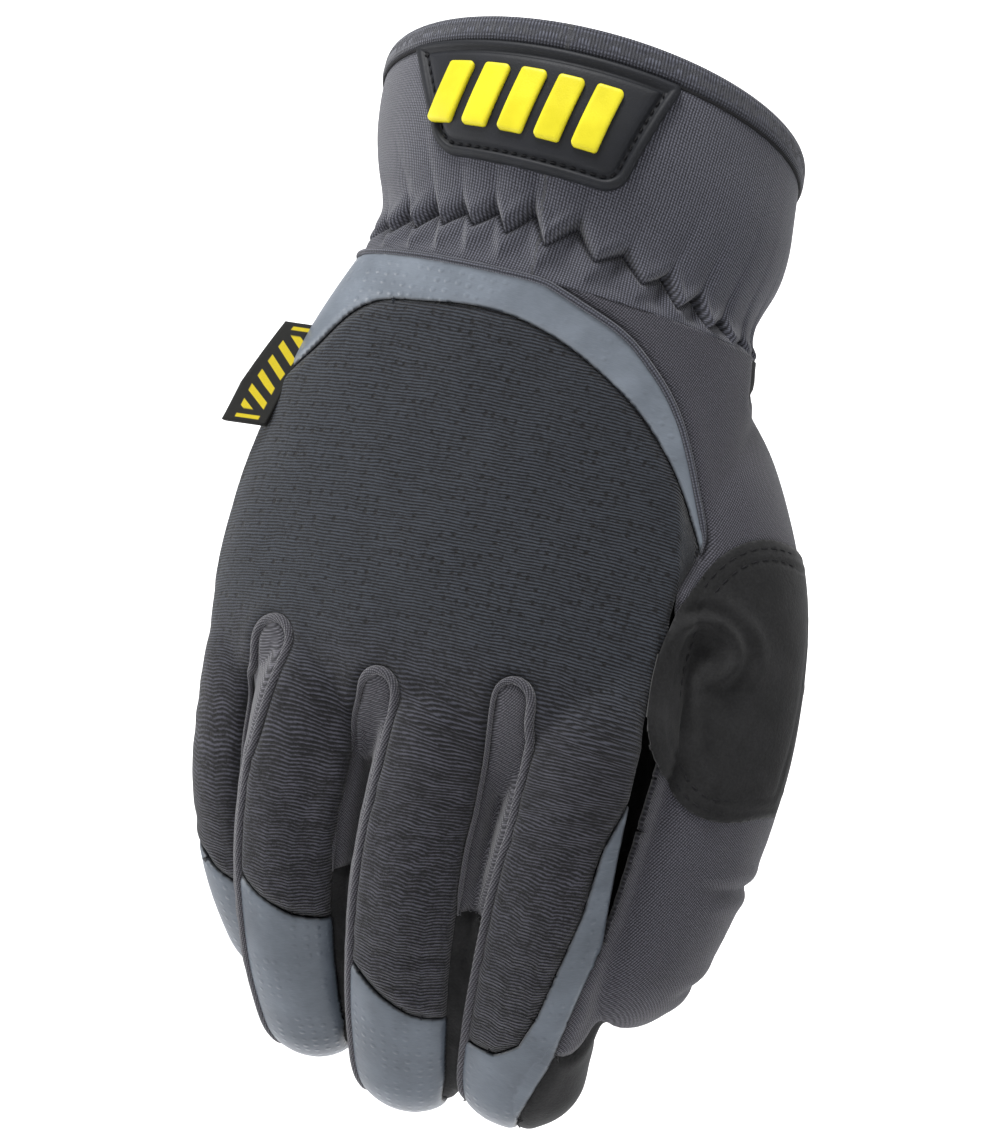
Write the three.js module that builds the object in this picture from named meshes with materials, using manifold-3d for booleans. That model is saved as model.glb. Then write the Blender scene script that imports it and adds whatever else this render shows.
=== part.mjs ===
// Mechanic's work glove for the right hand, filled as when it is worn, with the fingers down and
// a little curled.
// Millimetres. +Z points out of the cuff, -Y is the back of the hand, +Y the palm and +X the thumb side.
// The origin is the middle of the cuff's opening, where the hand goes in.
import * as THREE from "three";
import { mergeVertices } from "three/addons/utils/BufferGeometryUtils.js";
import Module from "manifold-3d";

const wasm = await Module();
wasm.setup();

// Driving dimensions.
const WALL = 1.5; // knit and leather of the hand
const SEAM_GAP = 0.3; // between two panels that are sewn edge to edge
const CUFF = { length: 43.2, width: 93, depth: 66, wall: 1.5, sides: 34 };
const HAND = { length: 104, width: 103, depth: 35, sides: 26 };
const FINGER = { length: 108, width: 28, depth: 26, sides: 12 };
const THUMB = { below: 50, drop: 137, width: 31, depth: 29, roll: 52, sides: 12 };
const HEM = { height: 4.8, proud: 0.7 };
const GATHER = { count: 14, depth: 3 };
const BADGE = { width: 60, foot: 41, height: 24.5, thickness: 2, corner: 6, x: -4.5, below: 0.4 };
const MARK = { width: 38, height: 13, lean: 4, gap: 2.4, thickness: 0.9, drop: 5.5, bars: 5 };
const TAG = { length: 23, reach: 5.8, thickness: 1.5, below: 11.5, y: -3 };
const PATCH = { thickness: 1, width: 34, length: 60, x: 56, below: 71, tilt: 7, deep: 20 };
const WEB = { below: 2 }; // the leather between thumb and index finger starts so far under the band's tip

// Cuff sections from the opening to the wrist seam: shares of the cuff's length, width and depth,
// with turns in degrees.
const CUFF_ROWS = [
  { at: 0.0, x: 0.0, width: 1.0, depth: 1.0, tilt: 4, nod: 17, pucker: 0 },
  { at: 0.2, x: 0.0, width: 1.01, depth: 1.0, tilt: 5, nod: 13, pucker: 0 },
  { at: 0.4, x: 0.005, width: 1.01, depth: 0.98, tilt: 6.5, nod: 8, pucker: 0 },
  { at: 0.58, x: 0.01, width: 0.98, depth: 0.9, tilt: 7, nod: 5, pucker: 0.1 },
  { at: 0.72, x: 0.01, width: 0.93, depth: 0.8, tilt: 8, nod: 2, pucker: 0.75 },
  { at: 0.85, x: 0.01, width: 0.91, depth: 0.74, tilt: 8, nod: 0, pucker: 1.0 },
  { at: 1.0, x: 0.006, width: 0.955, depth: 0.72, tilt: 6, nod: 0, pucker: 0.15 },
];

// Hand sections from the wrist seam to the webs: shares of the hand's length, width and depth.
const HAND_ROWS = [
  { at: 0.0, x: 0.005, y: 0, width: 0.863, back: 1.358, palm: 1.358, arch: 0, slope: 0, tilt: 6 },
  { at: 0.1, x: -0.015, y: 0, width: 0.93, back: 1.22, palm: 1.3, arch: 0.02, slope: 0, tilt: 5 },
  { at: 0.25, x: -0.045, y: 0, width: 1.01, back: 1.06, palm: 1.24, arch: 0.07, slope: 0.03, tilt: 3 },
  { at: 0.42, x: -0.075, y: 0, width: 1.05, back: 1.0, palm: 1.2, arch: 0.13, slope: 0.08, tilt: 2 },
  { at: 0.6, x: -0.095, y: 0, width: 1.06, back: 0.97, palm: 1.2, arch: 0.18, slope: 0.14, tilt: 2 },
  { at: 0.78, x: -0.1, y: 0, width: 1.04, back: 0.9, palm: 1.16, arch: 0.21, slope: 0.18, tilt: 4 },
  { at: 0.88, x: -0.1, y: 0.04, width: 1.0, back: 0.66, palm: 0.98, arch: 0.23, slope: 0.19, tilt: 6 },
  { at: 0.97, x: -0.1, y: 0.1, width: 0.9, back: 0.26, palm: 0.5, arch: 0.24, slope: 0.2, tilt: 8 },
];

// Sections along any finger: shares of its length, of its whole curl and of its width and depth.
const FINGER_ROWS = [
  { at: 0.0, curl: 0.1, width: 0.66, depth: 0.6 },
  { at: 0.16, curl: 0.15, width: 0.99, depth: 1.03 },
  { at: 0.36, curl: 0.33, width: 0.98, depth: 0.97 },
  { at: 0.5, curl: 0.6, width: 1.0, depth: 0.99 },
  { at: 0.63, curl: 0.74, width: 0.97, depth: 0.93 },
  { at: 0.75, curl: 0.92, width: 0.96, depth: 0.9 },
  { at: 0.86, curl: 1.0, width: 0.93, depth: 0.84 },
];
const TIP_TURN = [0.36, 0.68, 0.93]; // shares of a quarter turn over which a tip rounds off
const FINGER_STATIONS = [0.02, 0.11, 0.24, 0.4, 0.63, 0.86, 1.06]; // where a finger's seams are worked out

// The four fingers. Places are shares of the hand's width, depth and length, sizes are shares of a finger's.
const FINGERS = [
  { name: "little", x: -0.505, y: 0.36, below: 0.6, long: 0.87, wide: 0.79, curl: 54, lean: -5.5, roll: -20 },
  { name: "ring", x: -0.32, y: 0.057, below: 0.68, long: 0.96, wide: 0.97, curl: 54, lean: -4.5, roll: -10 },
  { name: "middle", x: -0.015, y: -0.057, below: 0.69, long: 1.02, wide: 1.03, curl: 50, lean: -5, roll: -2 },
  { name: "index", x: 0.3, y: 0, below: 0.68, long: 1.01, wide: 1.13, curl: 46, lean: -7, roll: 6 },
];

// Thumb sections from inside the heel of the hand: shares of its drop, of the hand's width and depth
// and of its own sizes.
const THUMB_ROWS = [
  { at: 0.0, x: 0.25, y: 0.08, width: 0.66, depth: 0.66 },
  { at: 0.18, x: 0.37, y: 0.257, width: 1.04, depth: 1.04 },
  { at: 0.35, x: 0.452, y: 0.371, width: 1.06, depth: 1.04 },
  { at: 0.54, x: 0.48, y: 0.486, width: 1.05, depth: 0.98 },
  { at: 0.7, x: 0.465, y: 0.571, width: 1.0, depth: 0.92 },
  { at: 0.86, x: 0.415, y: 0.657, width: 0.9, depth: 0.84 },
  { at: 1.0, x: 0.355, y: 0.72, width: 0.7, depth: 0.7 },
];

// Seam lines on the back of the hand, in shares of half the hand's width and of its length below
// the wrist seam.
const BAND_TOP = [
  { x: -0.1, at: -0.02 },
  { x: 0.23, at: 0.036 },
  { x: 0.5, at: 0.11 },
  { x: 0.7, at: 0.24 },
  { x: 0.85, at: 0.44 },
];
const BAND_FOOT = [
  { x: 0.81, at: 0.43 },
  { x: 0.73, at: 0.35 },
  { x: 0.58, at: 0.25 },
  { x: 0.35, at: 0.16 },
  { x: 0.08, at: 0.095 },
  { x: -0.4, at: 0.066 },
  { x: -0.79, at: 0.1 },
  { x: -0.92, at: 0.16 },
  { x: -1.2, at: 0.26 },
];
const BACK_EDGE = [
  { x: 0.85, at: 0.44 },
  { x: 0.785, at: 0.55 },
  { x: 0.77, at: 0.68 },
  { x: 0.77, at: 0.86 },
];

// The round tops of the gaps between the fingers, and where they narrow to: places in shares of half the
// hand's width and of its length, half widths in shares of a finger's width.
const GAPS = [
  { x: -0.85, at: 0.726, half: 0.165, footX: -0.893, foot: 1.0, footHalf: 0.08 },
  { x: -0.33, at: 0.809, half: 0.15, footX: -0.379, foot: 1.1, footHalf: 0.143 },
  { x: 0.247, at: 0.789, half: 0.143, footX: 0.2175, foot: 1.1, footHalf: 0.15 },
];

// Half widths of the strips on a finger's back and front, as shares of the finger's own half width.
const STRIP_ROWS = [
  { at: 0.02, half: 1.25 },
  { at: 0.11, half: 1.1 },
  { at: 0.2, half: 0.86 },
  { at: 0.38, half: 0.8 },
  { at: 0.63, half: 0.8 },
  { at: 0.86, half: 0.78 },
  { at: 1.06, half: 0.5 },
];
// How much wider each strip's back is to the left and right, and where along the finger its cap begins.
const SEAMS = {
  little: { left: 2.1, right: 0.79, cap: 0.67 },
  ring: { left: 0.76, right: 1.12, cap: 0.565 },
  middle: { left: 0.92, right: 1.05, cap: 0.68 },
  index: { left: 0.88 },
};
// A cap's upper edge slants across the finger, past the place where the cap begins.
const CAP_ROWS = [
  { past: -0.07, edge: -1.4 },
  { past: -0.045, edge: -0.75 },
  { past: -0.01, edge: -0.2 },
  { past: 0.02, edge: 0.35 },
  { past: 0.05, edge: 1.4 },
  { past: 0.5, edge: 1.5 },
];
// The index finger's cap runs up its thumb side, between an edge on the back and the leather beside it.
const INDEX_CAP_ROWS = [
  { at: 0.22, edge: 0.8 },
  { at: 0.35, edge: 0.6 },
  { at: 0.46, edge: 0.56 },
  { at: 0.56, edge: 0.44 },
  { at: 0.66, edge: 0.31 },
  { at: 0.735, edge: 0.12 },
  { at: 0.77, edge: -0.2 },
  { at: 0.79, edge: -1.4 },
  { at: 1.06, edge: -1.5 },
];
const INDEX_SIDE_ROWS = [
  { at: 0.02, edge: 0.64 },
  { at: 0.13, edge: 0.68 },
  { at: 0.24, edge: 0.73 },
  { at: 0.4, edge: 0.81 },
  { at: 0.52, edge: 0.86 },
  { at: 0.62, edge: 0.76 },
  { at: 0.77, edge: 0.58 },
  { at: 0.9, edge: 0.3 },
  { at: 1.06, edge: 0.1 },
];
const SIDE_END = 0.5; // share of a finger's length where its knit side gives way to leather

const COLOURS = {
  mesh: { color: 0x2b2c33, roughness: 0.9 },
  knit: { color: 0x4a4a52, roughness: 0.92 },
  grey: { color: 0x76808b, roughness: 0.45 },
  suede: { color: 0x1e1f21, roughness: 0.95 },
  rubber: { color: 0x303239, roughness: 0.55 },
  yellow: { color: 0xf2e23c, roughness: 0.5 },
};

const BORE_SIDES = 2 / 3; // the inside of the hand has so many of the outside's faces
const REACH = 1.75; // how far a cutting shape reaches past a wall, in half depths
const WIDE = 1.5; // and past a side, in half widths
const FAR = 90; // past the glove's back and palm, in millimetres
const LATE = 0.01; // rows nearer than this to a cut are left out
const turn = THREE.MathUtils.degToRad;
const ACROSS = new THREE.Vector3(1, 0, 0); // to the thumb
const BACK = new THREE.Vector3(0, -1, 0); // out of the back of the hand
const DOWN = new THREE.Vector3(0, 0, -1); // to the fingertips

// One cross-section: a middle point, a direction across and one out of the back, and half sizes.
class Section {
  constructor(middle, across, out, half) {
    Object.assign(this, { middle, across, out, ...half });
  }

  // The point so far across and out from the middle line, on a hand that arches from side to side.
  place(across, out) {
    const share = across / this.width;
    const drop = (this.arch ?? 0) * share ** 2 - (this.slope ?? 0) * share;
    return this.middle.clone().addScaledVector(this.across, across).addScaledVector(this.out, out - drop);
  }

  // The closed outline, pushed out by so much, with gathers of the given depth.
  ring(sides, push = 0, pucker = 0) {
    return Array.from({ length: sides }, (_, i) => {
      const angle = (2 * Math.PI * i) / sides;
      const fold = pucker * (Math.abs(Math.sin((GATHER.count * angle) / 2)) - 0.5);
      const [s, c] = [Math.sin(angle), Math.cos(angle)];
      const out = c > 0 ? this.back : this.palm;
      return this.place((this.width + push + fold) * s, (out + push + fold) * c);
    });
  }

  // A rectangle in this section's plane, from one place across to another and from one height to another.
  band(from, to, low, high) {
    const steps = this.arch === undefined ? [0, 1] : [0, 0.25, 0.5, 0.75, 1];
    const along = steps.map((t) => THREE.MathUtils.lerp(from, to, t));
    return [...along.map((x) => this.place(x, high)), ...along.reverse().map((x) => this.place(x, low))];
  }
}

// A closed body through rings of as many points, with a fan over each end.
function loft(rings) {
  const sides = rings[0].length;
  const ends = [rings[0], rings.at(-1)].map((ring) =>
    ring.reduce((sum, p) => sum.add(p), new THREE.Vector3()).divideScalar(sides),
  );
  const points = [...rings.flat(), ...ends];
  const faces = [];
  for (let i = 0; i < sides; i++) {
    const j = (i + 1) % sides;
    for (let r = 0; r + 1 < rings.length; r++) {
      const [a, b, c, d] = [r * sides + i, r * sides + j, (r + 1) * sides + j, (r + 1) * sides + i];
      faces.push(a, b, c, a, c, d);
    }
    const last = (rings.length - 1) * sides;
    faces.push(j, i, rings.length * sides, last + i, last + j, rings.length * sides + 1);
  }
  const geometry = new THREE.BufferGeometry().setFromPoints(points);
  geometry.setIndex(faces);
  return solid(geometry);
}

// A three.js geometry as a solid that can be cut and joined.
function solid(geometry) {
  const bare = geometry.clone();
  bare.deleteAttribute("normal");
  bare.deleteAttribute("uv");
  const merged = mergeVertices(bare, 1e-4);
  const vertProperties = merged.getAttribute("position").array;
  const build = (triVerts) => new wasm.Manifold(new wasm.Mesh({ numProp: 3, vertProperties, triVerts }));
  const made = build(new Uint32Array(merged.index.array));
  return made.volume() > 0 ? made : build(new Uint32Array(merged.index.array).reverse());
}

const facesOf = (sides, push) => Math.round(push < 0 ? sides * BORE_SIDES : sides);
const join = (solids) => solids.reduce((a, b) => a.add(b));

// A flat outline, given across and up, made a slab through the whole depth of the glove.
function slab(outline, near = -FAR, far = FAR) {
  const depth = far - near;
  const geometry = new THREE.ExtrudeGeometry(outline, { depth, bevelEnabled: false, curveSegments: 4 });
  geometry.rotateX(Math.PI / 2).translate(0, far, 0);
  return solid(geometry);
}

// Cuff.
function cuffSection(row) {
  const tilt = new THREE.Euler(turn(-row.nod), turn(row.tilt), 0);
  const middle = new THREE.Vector3(row.x * CUFF.width, 0, -row.at * CUFF.length);
  const depth = (row.depth * CUFF.depth) / 2;
  const half = { width: (row.width * CUFF.width) / 2, back: depth, palm: depth };
  return new Section(middle, ACROSS.clone().applyEuler(tilt), BACK.clone().applyEuler(tilt), half);
}

const cuffBody = (push, rows = CUFF_ROWS) =>
  loft(rows.map((row) => cuffSection(row).ring(CUFF.sides, push, row.pucker * GATHER.depth)));

// The cuff's rows from one share of its length to another, which may lie past an end.
function cuffRowsBetween(from, to) {
  const inside = CUFF_ROWS.filter((row) => row.at > from + LATE && row.at < to - LATE);
  return [{ ...rowAt(CUFF_ROWS, from), at: from }, ...inside, { ...rowAt(CUFF_ROWS, to), at: to }];
}

// The cuff is longer at the back of the hand than along its middle by so much.
const BACK_STRETCH = 1 + (CUFF.depth / 2 / CUFF.length) * Math.sin(turn(CUFF_ROWS[0].nod));

// A point of the cuff's outer face towards the back of the hand, so far across and below the opening.
function onCuff(across, below) {
  const at = below / (CUFF.length * BACK_STRETCH);
  const s = cuffSection({ ...rowAt(CUFF_ROWS, at), at });
  return s.place(across, s.back * Math.sqrt(Math.max(0, 1 - (across / s.width) ** 2)));
}

const seenFromBack = (points) => new THREE.Shape(points.map((p) => new THREE.Vector2(p.x, p.z)));

// Hand.
function handSection(row) {
  const z = -CUFF.length - row.at * HAND.length;
  const middle = new THREE.Vector3(row.x * HAND.width, row.y * HAND.depth, z);
  const half = {
    width: (row.width * HAND.width) / 2,
    back: (row.back * HAND.depth) / 2,
    palm: (row.palm * HAND.depth) / 2,
    arch: row.arch * HAND.depth,
    slope: row.slope * HAND.depth,
  };
  const tilt = new THREE.Euler(0, turn(row.tilt), 0);
  return new Section(middle, ACROSS.clone().applyEuler(tilt), BACK.clone(), half);
}

// Fingers: a finger's middle line turns towards the palm as its curl grows.
function fingerSection(finger, at, push = 0, squeeze = 1) {
  const length = FINGER.length * finger.long;
  const roll = new THREE.Euler(0, turn(-finger.lean), turn(finger.roll), "YZX");
  const [across, back, down] = [ACROSS, BACK, DOWN].map((axis) => axis.clone().applyEuler(roll));
  const middle = new THREE.Vector3(
    finger.x * HAND.width,
    finger.y * HAND.depth,
    -CUFF.length - finger.below * HAND.length,
  );
  const steps = 40;
  for (let i = 0; i < steps; i++) {
    const bend = turn(finger.curl * rowValue(FINGER_ROWS, "curl", (at * (i + 0.5)) / steps));
    const step = (at * length) / steps;
    middle.addScaledVector(down, step * Math.cos(bend)).addScaledVector(back, -step * Math.sin(bend));
  }
  const bend = turn(finger.curl * rowValue(FINGER_ROWS, "curl", at));
  const out = back.clone().multiplyScalar(Math.cos(bend)).addScaledVector(down, Math.sin(bend));
  const depth = ((rowValue(FINGER_ROWS, "depth", at) * FINGER.depth * finger.wide) / 2 + push) * squeeze;
  const width = ((rowValue(FINGER_ROWS, "width", at) * FINGER.width * finger.wide) / 2 + push) * squeeze;
  return new Section(middle, across, out, { width, back: depth, palm: depth });
}

// The value of one column, or of every column, at a place between the rows.
function rowValue(rows, column, at) {
  const next = rows.findIndex((row) => row.at > at);
  if (next === -1) return rows.at(-1)[column];
  if (next === 0) return rows[0][column];
  const [a, b] = [rows[next - 1], rows[next]];
  return THREE.MathUtils.mapLinear(at, a.at, b.at, a[column], b[column]);
}

const rowAt = (rows, at) =>
  Object.fromEntries(Object.keys(rows[0]).map((column) => [column, rowValue(rows, column, at)]));

function fingerBody(finger, push) {
  const start = FINGER_ROWS.at(-1).at;
  const tip = 1 - start + push / (FINGER.length * finger.long);
  const sides = facesOf(FINGER.sides, push);
  const rings = FINGER_ROWS.map((row) => fingerSection(finger, row.at, push).ring(sides));
  for (const share of TIP_TURN) {
    const angle = (share * Math.PI) / 2;
    const section = fingerSection(finger, start + tip * Math.sin(angle), push, Math.cos(angle));
    rings.push(section.ring(sides));
  }
  return loft(rings);
}

// Thumb.
const thumbLine = () =>
  new THREE.CatmullRomCurve3(
    THUMB_ROWS.map(
      (row) => new THREE.Vector3(row.x * HAND.width, row.y * HAND.depth, -THUMB.below - row.at * THUMB.drop),
    ),
  );

function thumbSection(t, push = 0, squeeze = 1) {
  const line = thumbLine();
  const place = t * (THUMB_ROWS.length - 1);
  const rows = THUMB_ROWS.map((row, i) => ({ ...row, at: i }));
  const along = line.getTangent(Math.min(t, 1));
  const out = new THREE.Vector3(Math.sin(turn(THUMB.roll)), -Math.cos(turn(THUMB.roll)), 0);
  const across = new THREE.Vector3().crossVectors(out, along).normalize();
  out.crossVectors(along, across).normalize();
  const half = {
    width: ((rowValue(rows, "width", place) * THUMB.width) / 2 + push) * squeeze,
    back: ((rowValue(rows, "depth", place) * THUMB.depth) / 2 + push) * squeeze,
  };
  const middle = line.getPoint(Math.min(t, 1)).addScaledVector(along, Math.max(0, t - 1) * THUMB.drop);
  return new Section(middle, across, out, { ...half, palm: half.back });
}

function thumbBody(push) {
  const steps = THUMB_ROWS.length - 1;
  const start = (steps - 1) / steps;
  const tip = 1 - start + push / THUMB.drop;
  const sides = facesOf(THUMB.sides, push);
  const rings = Array.from({ length: steps }, (_, i) => thumbSection(i / steps, push).ring(sides));
  for (const share of TIP_TURN) {
    const angle = (share * Math.PI) / 2;
    rings.push(thumbSection(start + tip * Math.sin(angle), push, Math.cos(angle)).ring(sides));
  }
  return loft(rings);
}

// The whole hand with its fingers and thumb, pushed out or drawn in by so much.
function handBody(push, rows = HAND_ROWS) {
  return join([
    loft(rows.map((row) => handSection(row).ring(facesOf(HAND.sides, push), push))),
    ...FINGERS.map((finger) => fingerBody(finger, push)),
    thumbBody(push),
  ]);
}

// A point on a seam line on the back of the hand, as across and up.
const onBack = (row) => new THREE.Vector2((row.x * HAND.width) / 2, -CUFF.length - row.at * HAND.length);

// A seam line's points, moved squarely to the left of the way they run.
function beside(rows, grow) {
  const points = rows.map(onBack);
  return points.map((point, i) => {
    const [before, after] = [points[i - 1] ?? point, points[i + 1] ?? point];
    const along = after.clone().sub(before).normalize();
    return point.clone().add(new THREE.Vector2(-along.y, along.x).multiplyScalar(grow));
  });
}

// The back of the hand down to the knuckles, inside its seam lines.
function backOutline(grow) {
  const outline = new THREE.Shape();
  const left = -HAND.width;
  outline.moveTo(left, -CUFF.length + 5);
  outline.lineTo(...onBack({ x: -0.4, at: -0.04 }));
  outline.splineThru(beside([...BAND_TOP, ...BACK_EDGE.slice(1)], grow));
  const foot = onBack(BACK_EDGE.at(-1)).y - 2 * grow;
  outline.lineTo(outline.currentPoint.x, foot);
  outline.lineTo(left, foot);
  return outline;
}

function bandOutline(grow) {
  const outline = new THREE.Shape();
  outline.moveTo(-HAND.width, -CUFF.length + 9);
  outline.lineTo(HAND.width, -CUFF.length + 9);
  outline.lineTo(HAND.width, onBack(BACK_EDGE[0]).y);
  outline.lineTo(onBack(BACK_EDGE[0]).x, onBack(BACK_EDGE[0]).y);
  outline.splineThru(beside(BAND_FOOT, grow));
  outline.lineTo(-HAND.width, outline.currentPoint.y);
  return outline;
}

// The gap between two fingers as it is seen on the back of the hand, with a round top.
function gapOutline(row, grow) {
  const top = onBack(row);
  const foot = onBack({ x: row.footX, at: row.foot });
  const half = row.half * FINGER.width - grow;
  const footHalf = row.footHalf * FINGER.width - grow;
  const outline = new THREE.Shape();
  outline.moveTo(foot.x - footHalf, foot.y);
  outline.lineTo(top.x - half, top.y - half - grow);
  outline.absarc(top.x, top.y - half - grow, half, Math.PI, 0, true);
  outline.lineTo(foot.x + footHalf, foot.y);
  return outline;
}

// A cutting shape over part of the hand's sections.
function handCutter(rows, low, high) {
  return loft(
    rows.map((row) => {
      const s = handSection(row);
      return s.band(-WIDE * s.width, WIDE * s.width, low(s), high(s));
    }),
  );
}

// The hand's rows from above the wrist seam down to one share of its length.
function handRowsTo(end) {
  const inside = HAND_ROWS.filter((row) => row.at < end - LATE);
  return [{ ...HAND_ROWS[0], at: -0.1 }, ...inside, { ...rowAt(HAND_ROWS, end), at: end }];
}

// The strip along a finger's back (side 1) or front (side -1), between its two side seams.
function stripCutter(finger, side, grow) {
  const outer = { left: finger.name === "little", right: finger.name === "index" };
  const stations = FINGER_STATIONS.filter((at) => side > 0 || at > 0.15);
  if (grow) stations.unshift(stations[0] - grow / FINGER.length);
  return loft(
    stations.map((at) => {
      const s = fingerSection(finger, at);
      const half = rowValue(STRIP_ROWS, "half", at) * s.width;
      const far = REACH * s.back;
      if (side > 0) {
        const left = half * SEAMS[finger.name].left + grow;
        return s.band(-left, backSeam(finger, at) * s.width + grow, -grow, far);
      }
      const left = outer.left ? 1.6 * s.width : half + grow;
      const right = outer.right ? 1.6 * s.width : half + grow;
      return s.band(-left, right, -far, grow - SEAM_GAP);
    }),
  );
}

// The seam on the thumb side of a finger's back, as a share of the finger's half width.
function backSeam(finger, at) {
  if (finger.name === "index") return rowValue(INDEX_SIDE_ROWS, "edge", at);
  return rowValue(STRIP_ROWS, "half", at) * SEAMS[finger.name].right;
}

// The thumb side of a finger's lower end, and all of the index finger's, where the palm's leather
// wraps round.
function wrapCutter(finger, grow) {
  const start = finger.name === "index" ? FINGER_STATIONS[0] : SIDE_END;
  const stations = [start, ...FINGER_STATIONS.filter((at) => at > start + LATE)];
  if (grow) stations.unshift(start - grow / FINGER.length);
  return loft(
    stations.map((at) => {
      const s = fingerSection(finger, at);
      const seam = backSeam(finger, at) * s.width + SEAM_GAP - grow;
      return s.band(seam, 1.15 * s.width, -REACH * s.back, REACH * s.back);
    }),
  );
}

function capCutter(finger, grow) {
  const index = finger.name === "index";
  const start = SEAMS[finger.name].cap;
  const slanted = CAP_ROWS.map((row) => ({ ...row, at: start + row.past }));
  const tip = loft(
    (index ? INDEX_CAP_ROWS : slanted).map((row) => {
      const s = fingerSection(finger, row.at);
      const edge = row.edge * s.width + (index ? -grow : grow);
      const [from, to] = index ? [edge, 2 * s.width] : [-2 * s.width, edge];
      return s.band(from, to, -REACH * s.back, REACH * s.back);
    }),
  );
  return tip.intersect(stripCutter(finger, 1, grow));
}

// The space between the middle lines of two neighbouring fingers.
function betweenFingers(a, b) {
  const stations = [0.02, 0.25, 0.5, 0.75, 1.1];
  const line = (finger) => stations.map((at) => fingerSection(finger, at).middle);
  const outline = [...line(a), ...line(b).reverse()];
  return slab(new THREE.Shape(outline.map((p) => new THREE.Vector2(p.x, p.z))));
}

function thumbCutter(low, high) {
  const steps = 5;
  return loft(
    Array.from({ length: steps + 1 }, (_, i) => {
      const s = thumbSection((1.2 * i) / steps);
      return s.band(-WIDE * s.width, WIDE * s.width, low(s), high(s));
    }),
  );
}

// The leather between the thumb and the index finger, and down the finger's side.
function webCutter(grow) {
  const left = FINGERS.at(-1).x * HAND.width;
  const top = onBack(BACK_EDGE[0]).y - WEB.below + grow;
  const foot = top - FINGER.length;
  const corners = [[left, top], [HAND.width, top], [HAND.width, foot], [left, foot]];
  return slab(new THREE.Shape(corners.map(([x, y]) => new THREE.Vector2(x, y))));
}

// Which part of the hand's wall each panel takes. A larger shape, grown by the seam gap, clears the
// next panel.
function backRegion(grow) {
  const rows = handRowsTo(BACK_EDGE.at(-1).at + grow / HAND.length);
  const hand = handCutter(rows, () => -grow, (s) => REACH * s.back).intersect(slab(backOutline(grow)));
  const gaps = join(GAPS.map((row) => slab(gapOutline(row, grow), -FAR, HAND.depth / 2)));
  return join([hand, ...FINGERS.map((finger) => stripCutter(finger, 1, grow))]).subtract(gaps);
}

function sideRegion(grow) {
  const foot = BACK_EDGE[0].at + (WEB.below + grow) / HAND.length;
  return join([
    handCutter(handRowsTo(foot), () => -grow, (s) => REACH * s.back),
    thumbCutter(() => -grow, (s) => REACH * s.back),
  ]);
}

function palmRegion(grow) {
  const rows = handRowsTo(HAND_ROWS.at(-1).at + grow / HAND.length);
  return join([
    handCutter(rows, (s) => -REACH * s.palm, () => grow - SEAM_GAP),
    thumbCutter((s) => -REACH * s.back, () => grow - SEAM_GAP),
    webCutter(grow),
    ...FINGERS.map((finger) => stripCutter(finger, -1, grow)),
    ...FINGERS.map((finger) => wrapCutter(finger, grow)),
  ]);
}

// A layer that lies on a body's outside, as thick as it says, from the back of the hand to some depth.
function layer(bodyAt, thickness, outline, far) {
  return bodyAt(SEAM_GAP + thickness)
    .subtract(bodyAt(SEAM_GAP))
    .intersect(slab(outline, -FAR, far));
}

const largest = (body) => body.decompose().reduce((a, b) => (a.volume() > b.volume() ? a : b));

function surface(body) {
  const { vertProperties, triVerts } = body.getMesh();
  const geometry = new THREE.BufferGeometry();
  geometry.setAttribute("position", new THREE.BufferAttribute(vertProperties, 3));
  geometry.setIndex(new THREE.BufferAttribute(triVerts, 1));
  return geometry;
}

// A named piece. A crumb that hangs on by one edge comes off once the corners are rounded to the
// mesh's numbers.
function piece(name, body, finish) {
  const geometry = surface(largest(solid(surface(largest(body)))));
  geometry.computeVertexNormals();
  const mesh = new THREE.Mesh(geometry, new THREE.MeshStandardMaterial({ metalness: 0, ...finish }));
  mesh.name = name;
  return mesh;
}

// The hand in its panels.
function handPanels() {
  const wall = handBody(0).subtract(handBody(-WALL, handRowsTo(HAND_ROWS.at(-1).at)));
  const back = wall.intersect(backRegion(0));
  const backGrown = backRegion(SEAM_GAP);
  const side = wall.intersect(sideRegion(0)).subtract(backGrown);
  const sideGrown = sideRegion(SEAM_GAP);
  const palm = wall.intersect(palmRegion(0)).subtract(backGrown).subtract(sideGrown);
  const webs = wall.subtract(backGrown).subtract(sideGrown).subtract(palmRegion(SEAM_GAP));
  const caps = join(FINGERS.map((finger) => capCutter(finger, SEAM_GAP)));
  return [
    piece("back_panel", back.subtract(slab(bandOutline(SEAM_GAP))).subtract(caps), COLOURS.mesh),
    piece("wrist_band", back.intersect(slab(bandOutline(0))), COLOURS.grey),
    piece("side_knit", side, COLOURS.knit),
    piece("palm_panel", palm, COLOURS.suede),
    ...FINGERS.map((finger) => {
      const cap = back.intersect(capCutter(finger, 0));
      return piece(`${finger.name}_tip_cap`, cap, COLOURS.grey);
    }),
    ...FINGERS.slice(1).map((finger, i) => {
      const name = `${FINGERS[i].name}_${finger.name}_fourchette`;
      return piece(name, webs.intersect(betweenFingers(FINGERS[i], finger)), COLOURS.knit);
    }),
  ];
}

// The gathered cuff and its bound edge.
function cuffPieces() {
  const ring = (from, to, push) => cuffBody(push, cuffRowsBetween(from, to));
  const seam = HEM.height / CUFF.length;
  const gap = SEAM_GAP / CUFF.length;
  const bore = ring(-0.2, 1.2, -CUFF.wall);
  return [
    piece("cuff", ring(seam + gap, 1 - gap, 0).subtract(bore), COLOURS.knit),
    piece("cuff_hem", ring(0, seam, HEM.proud).subtract(bore), COLOURS.knit),
  ];
}

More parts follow.
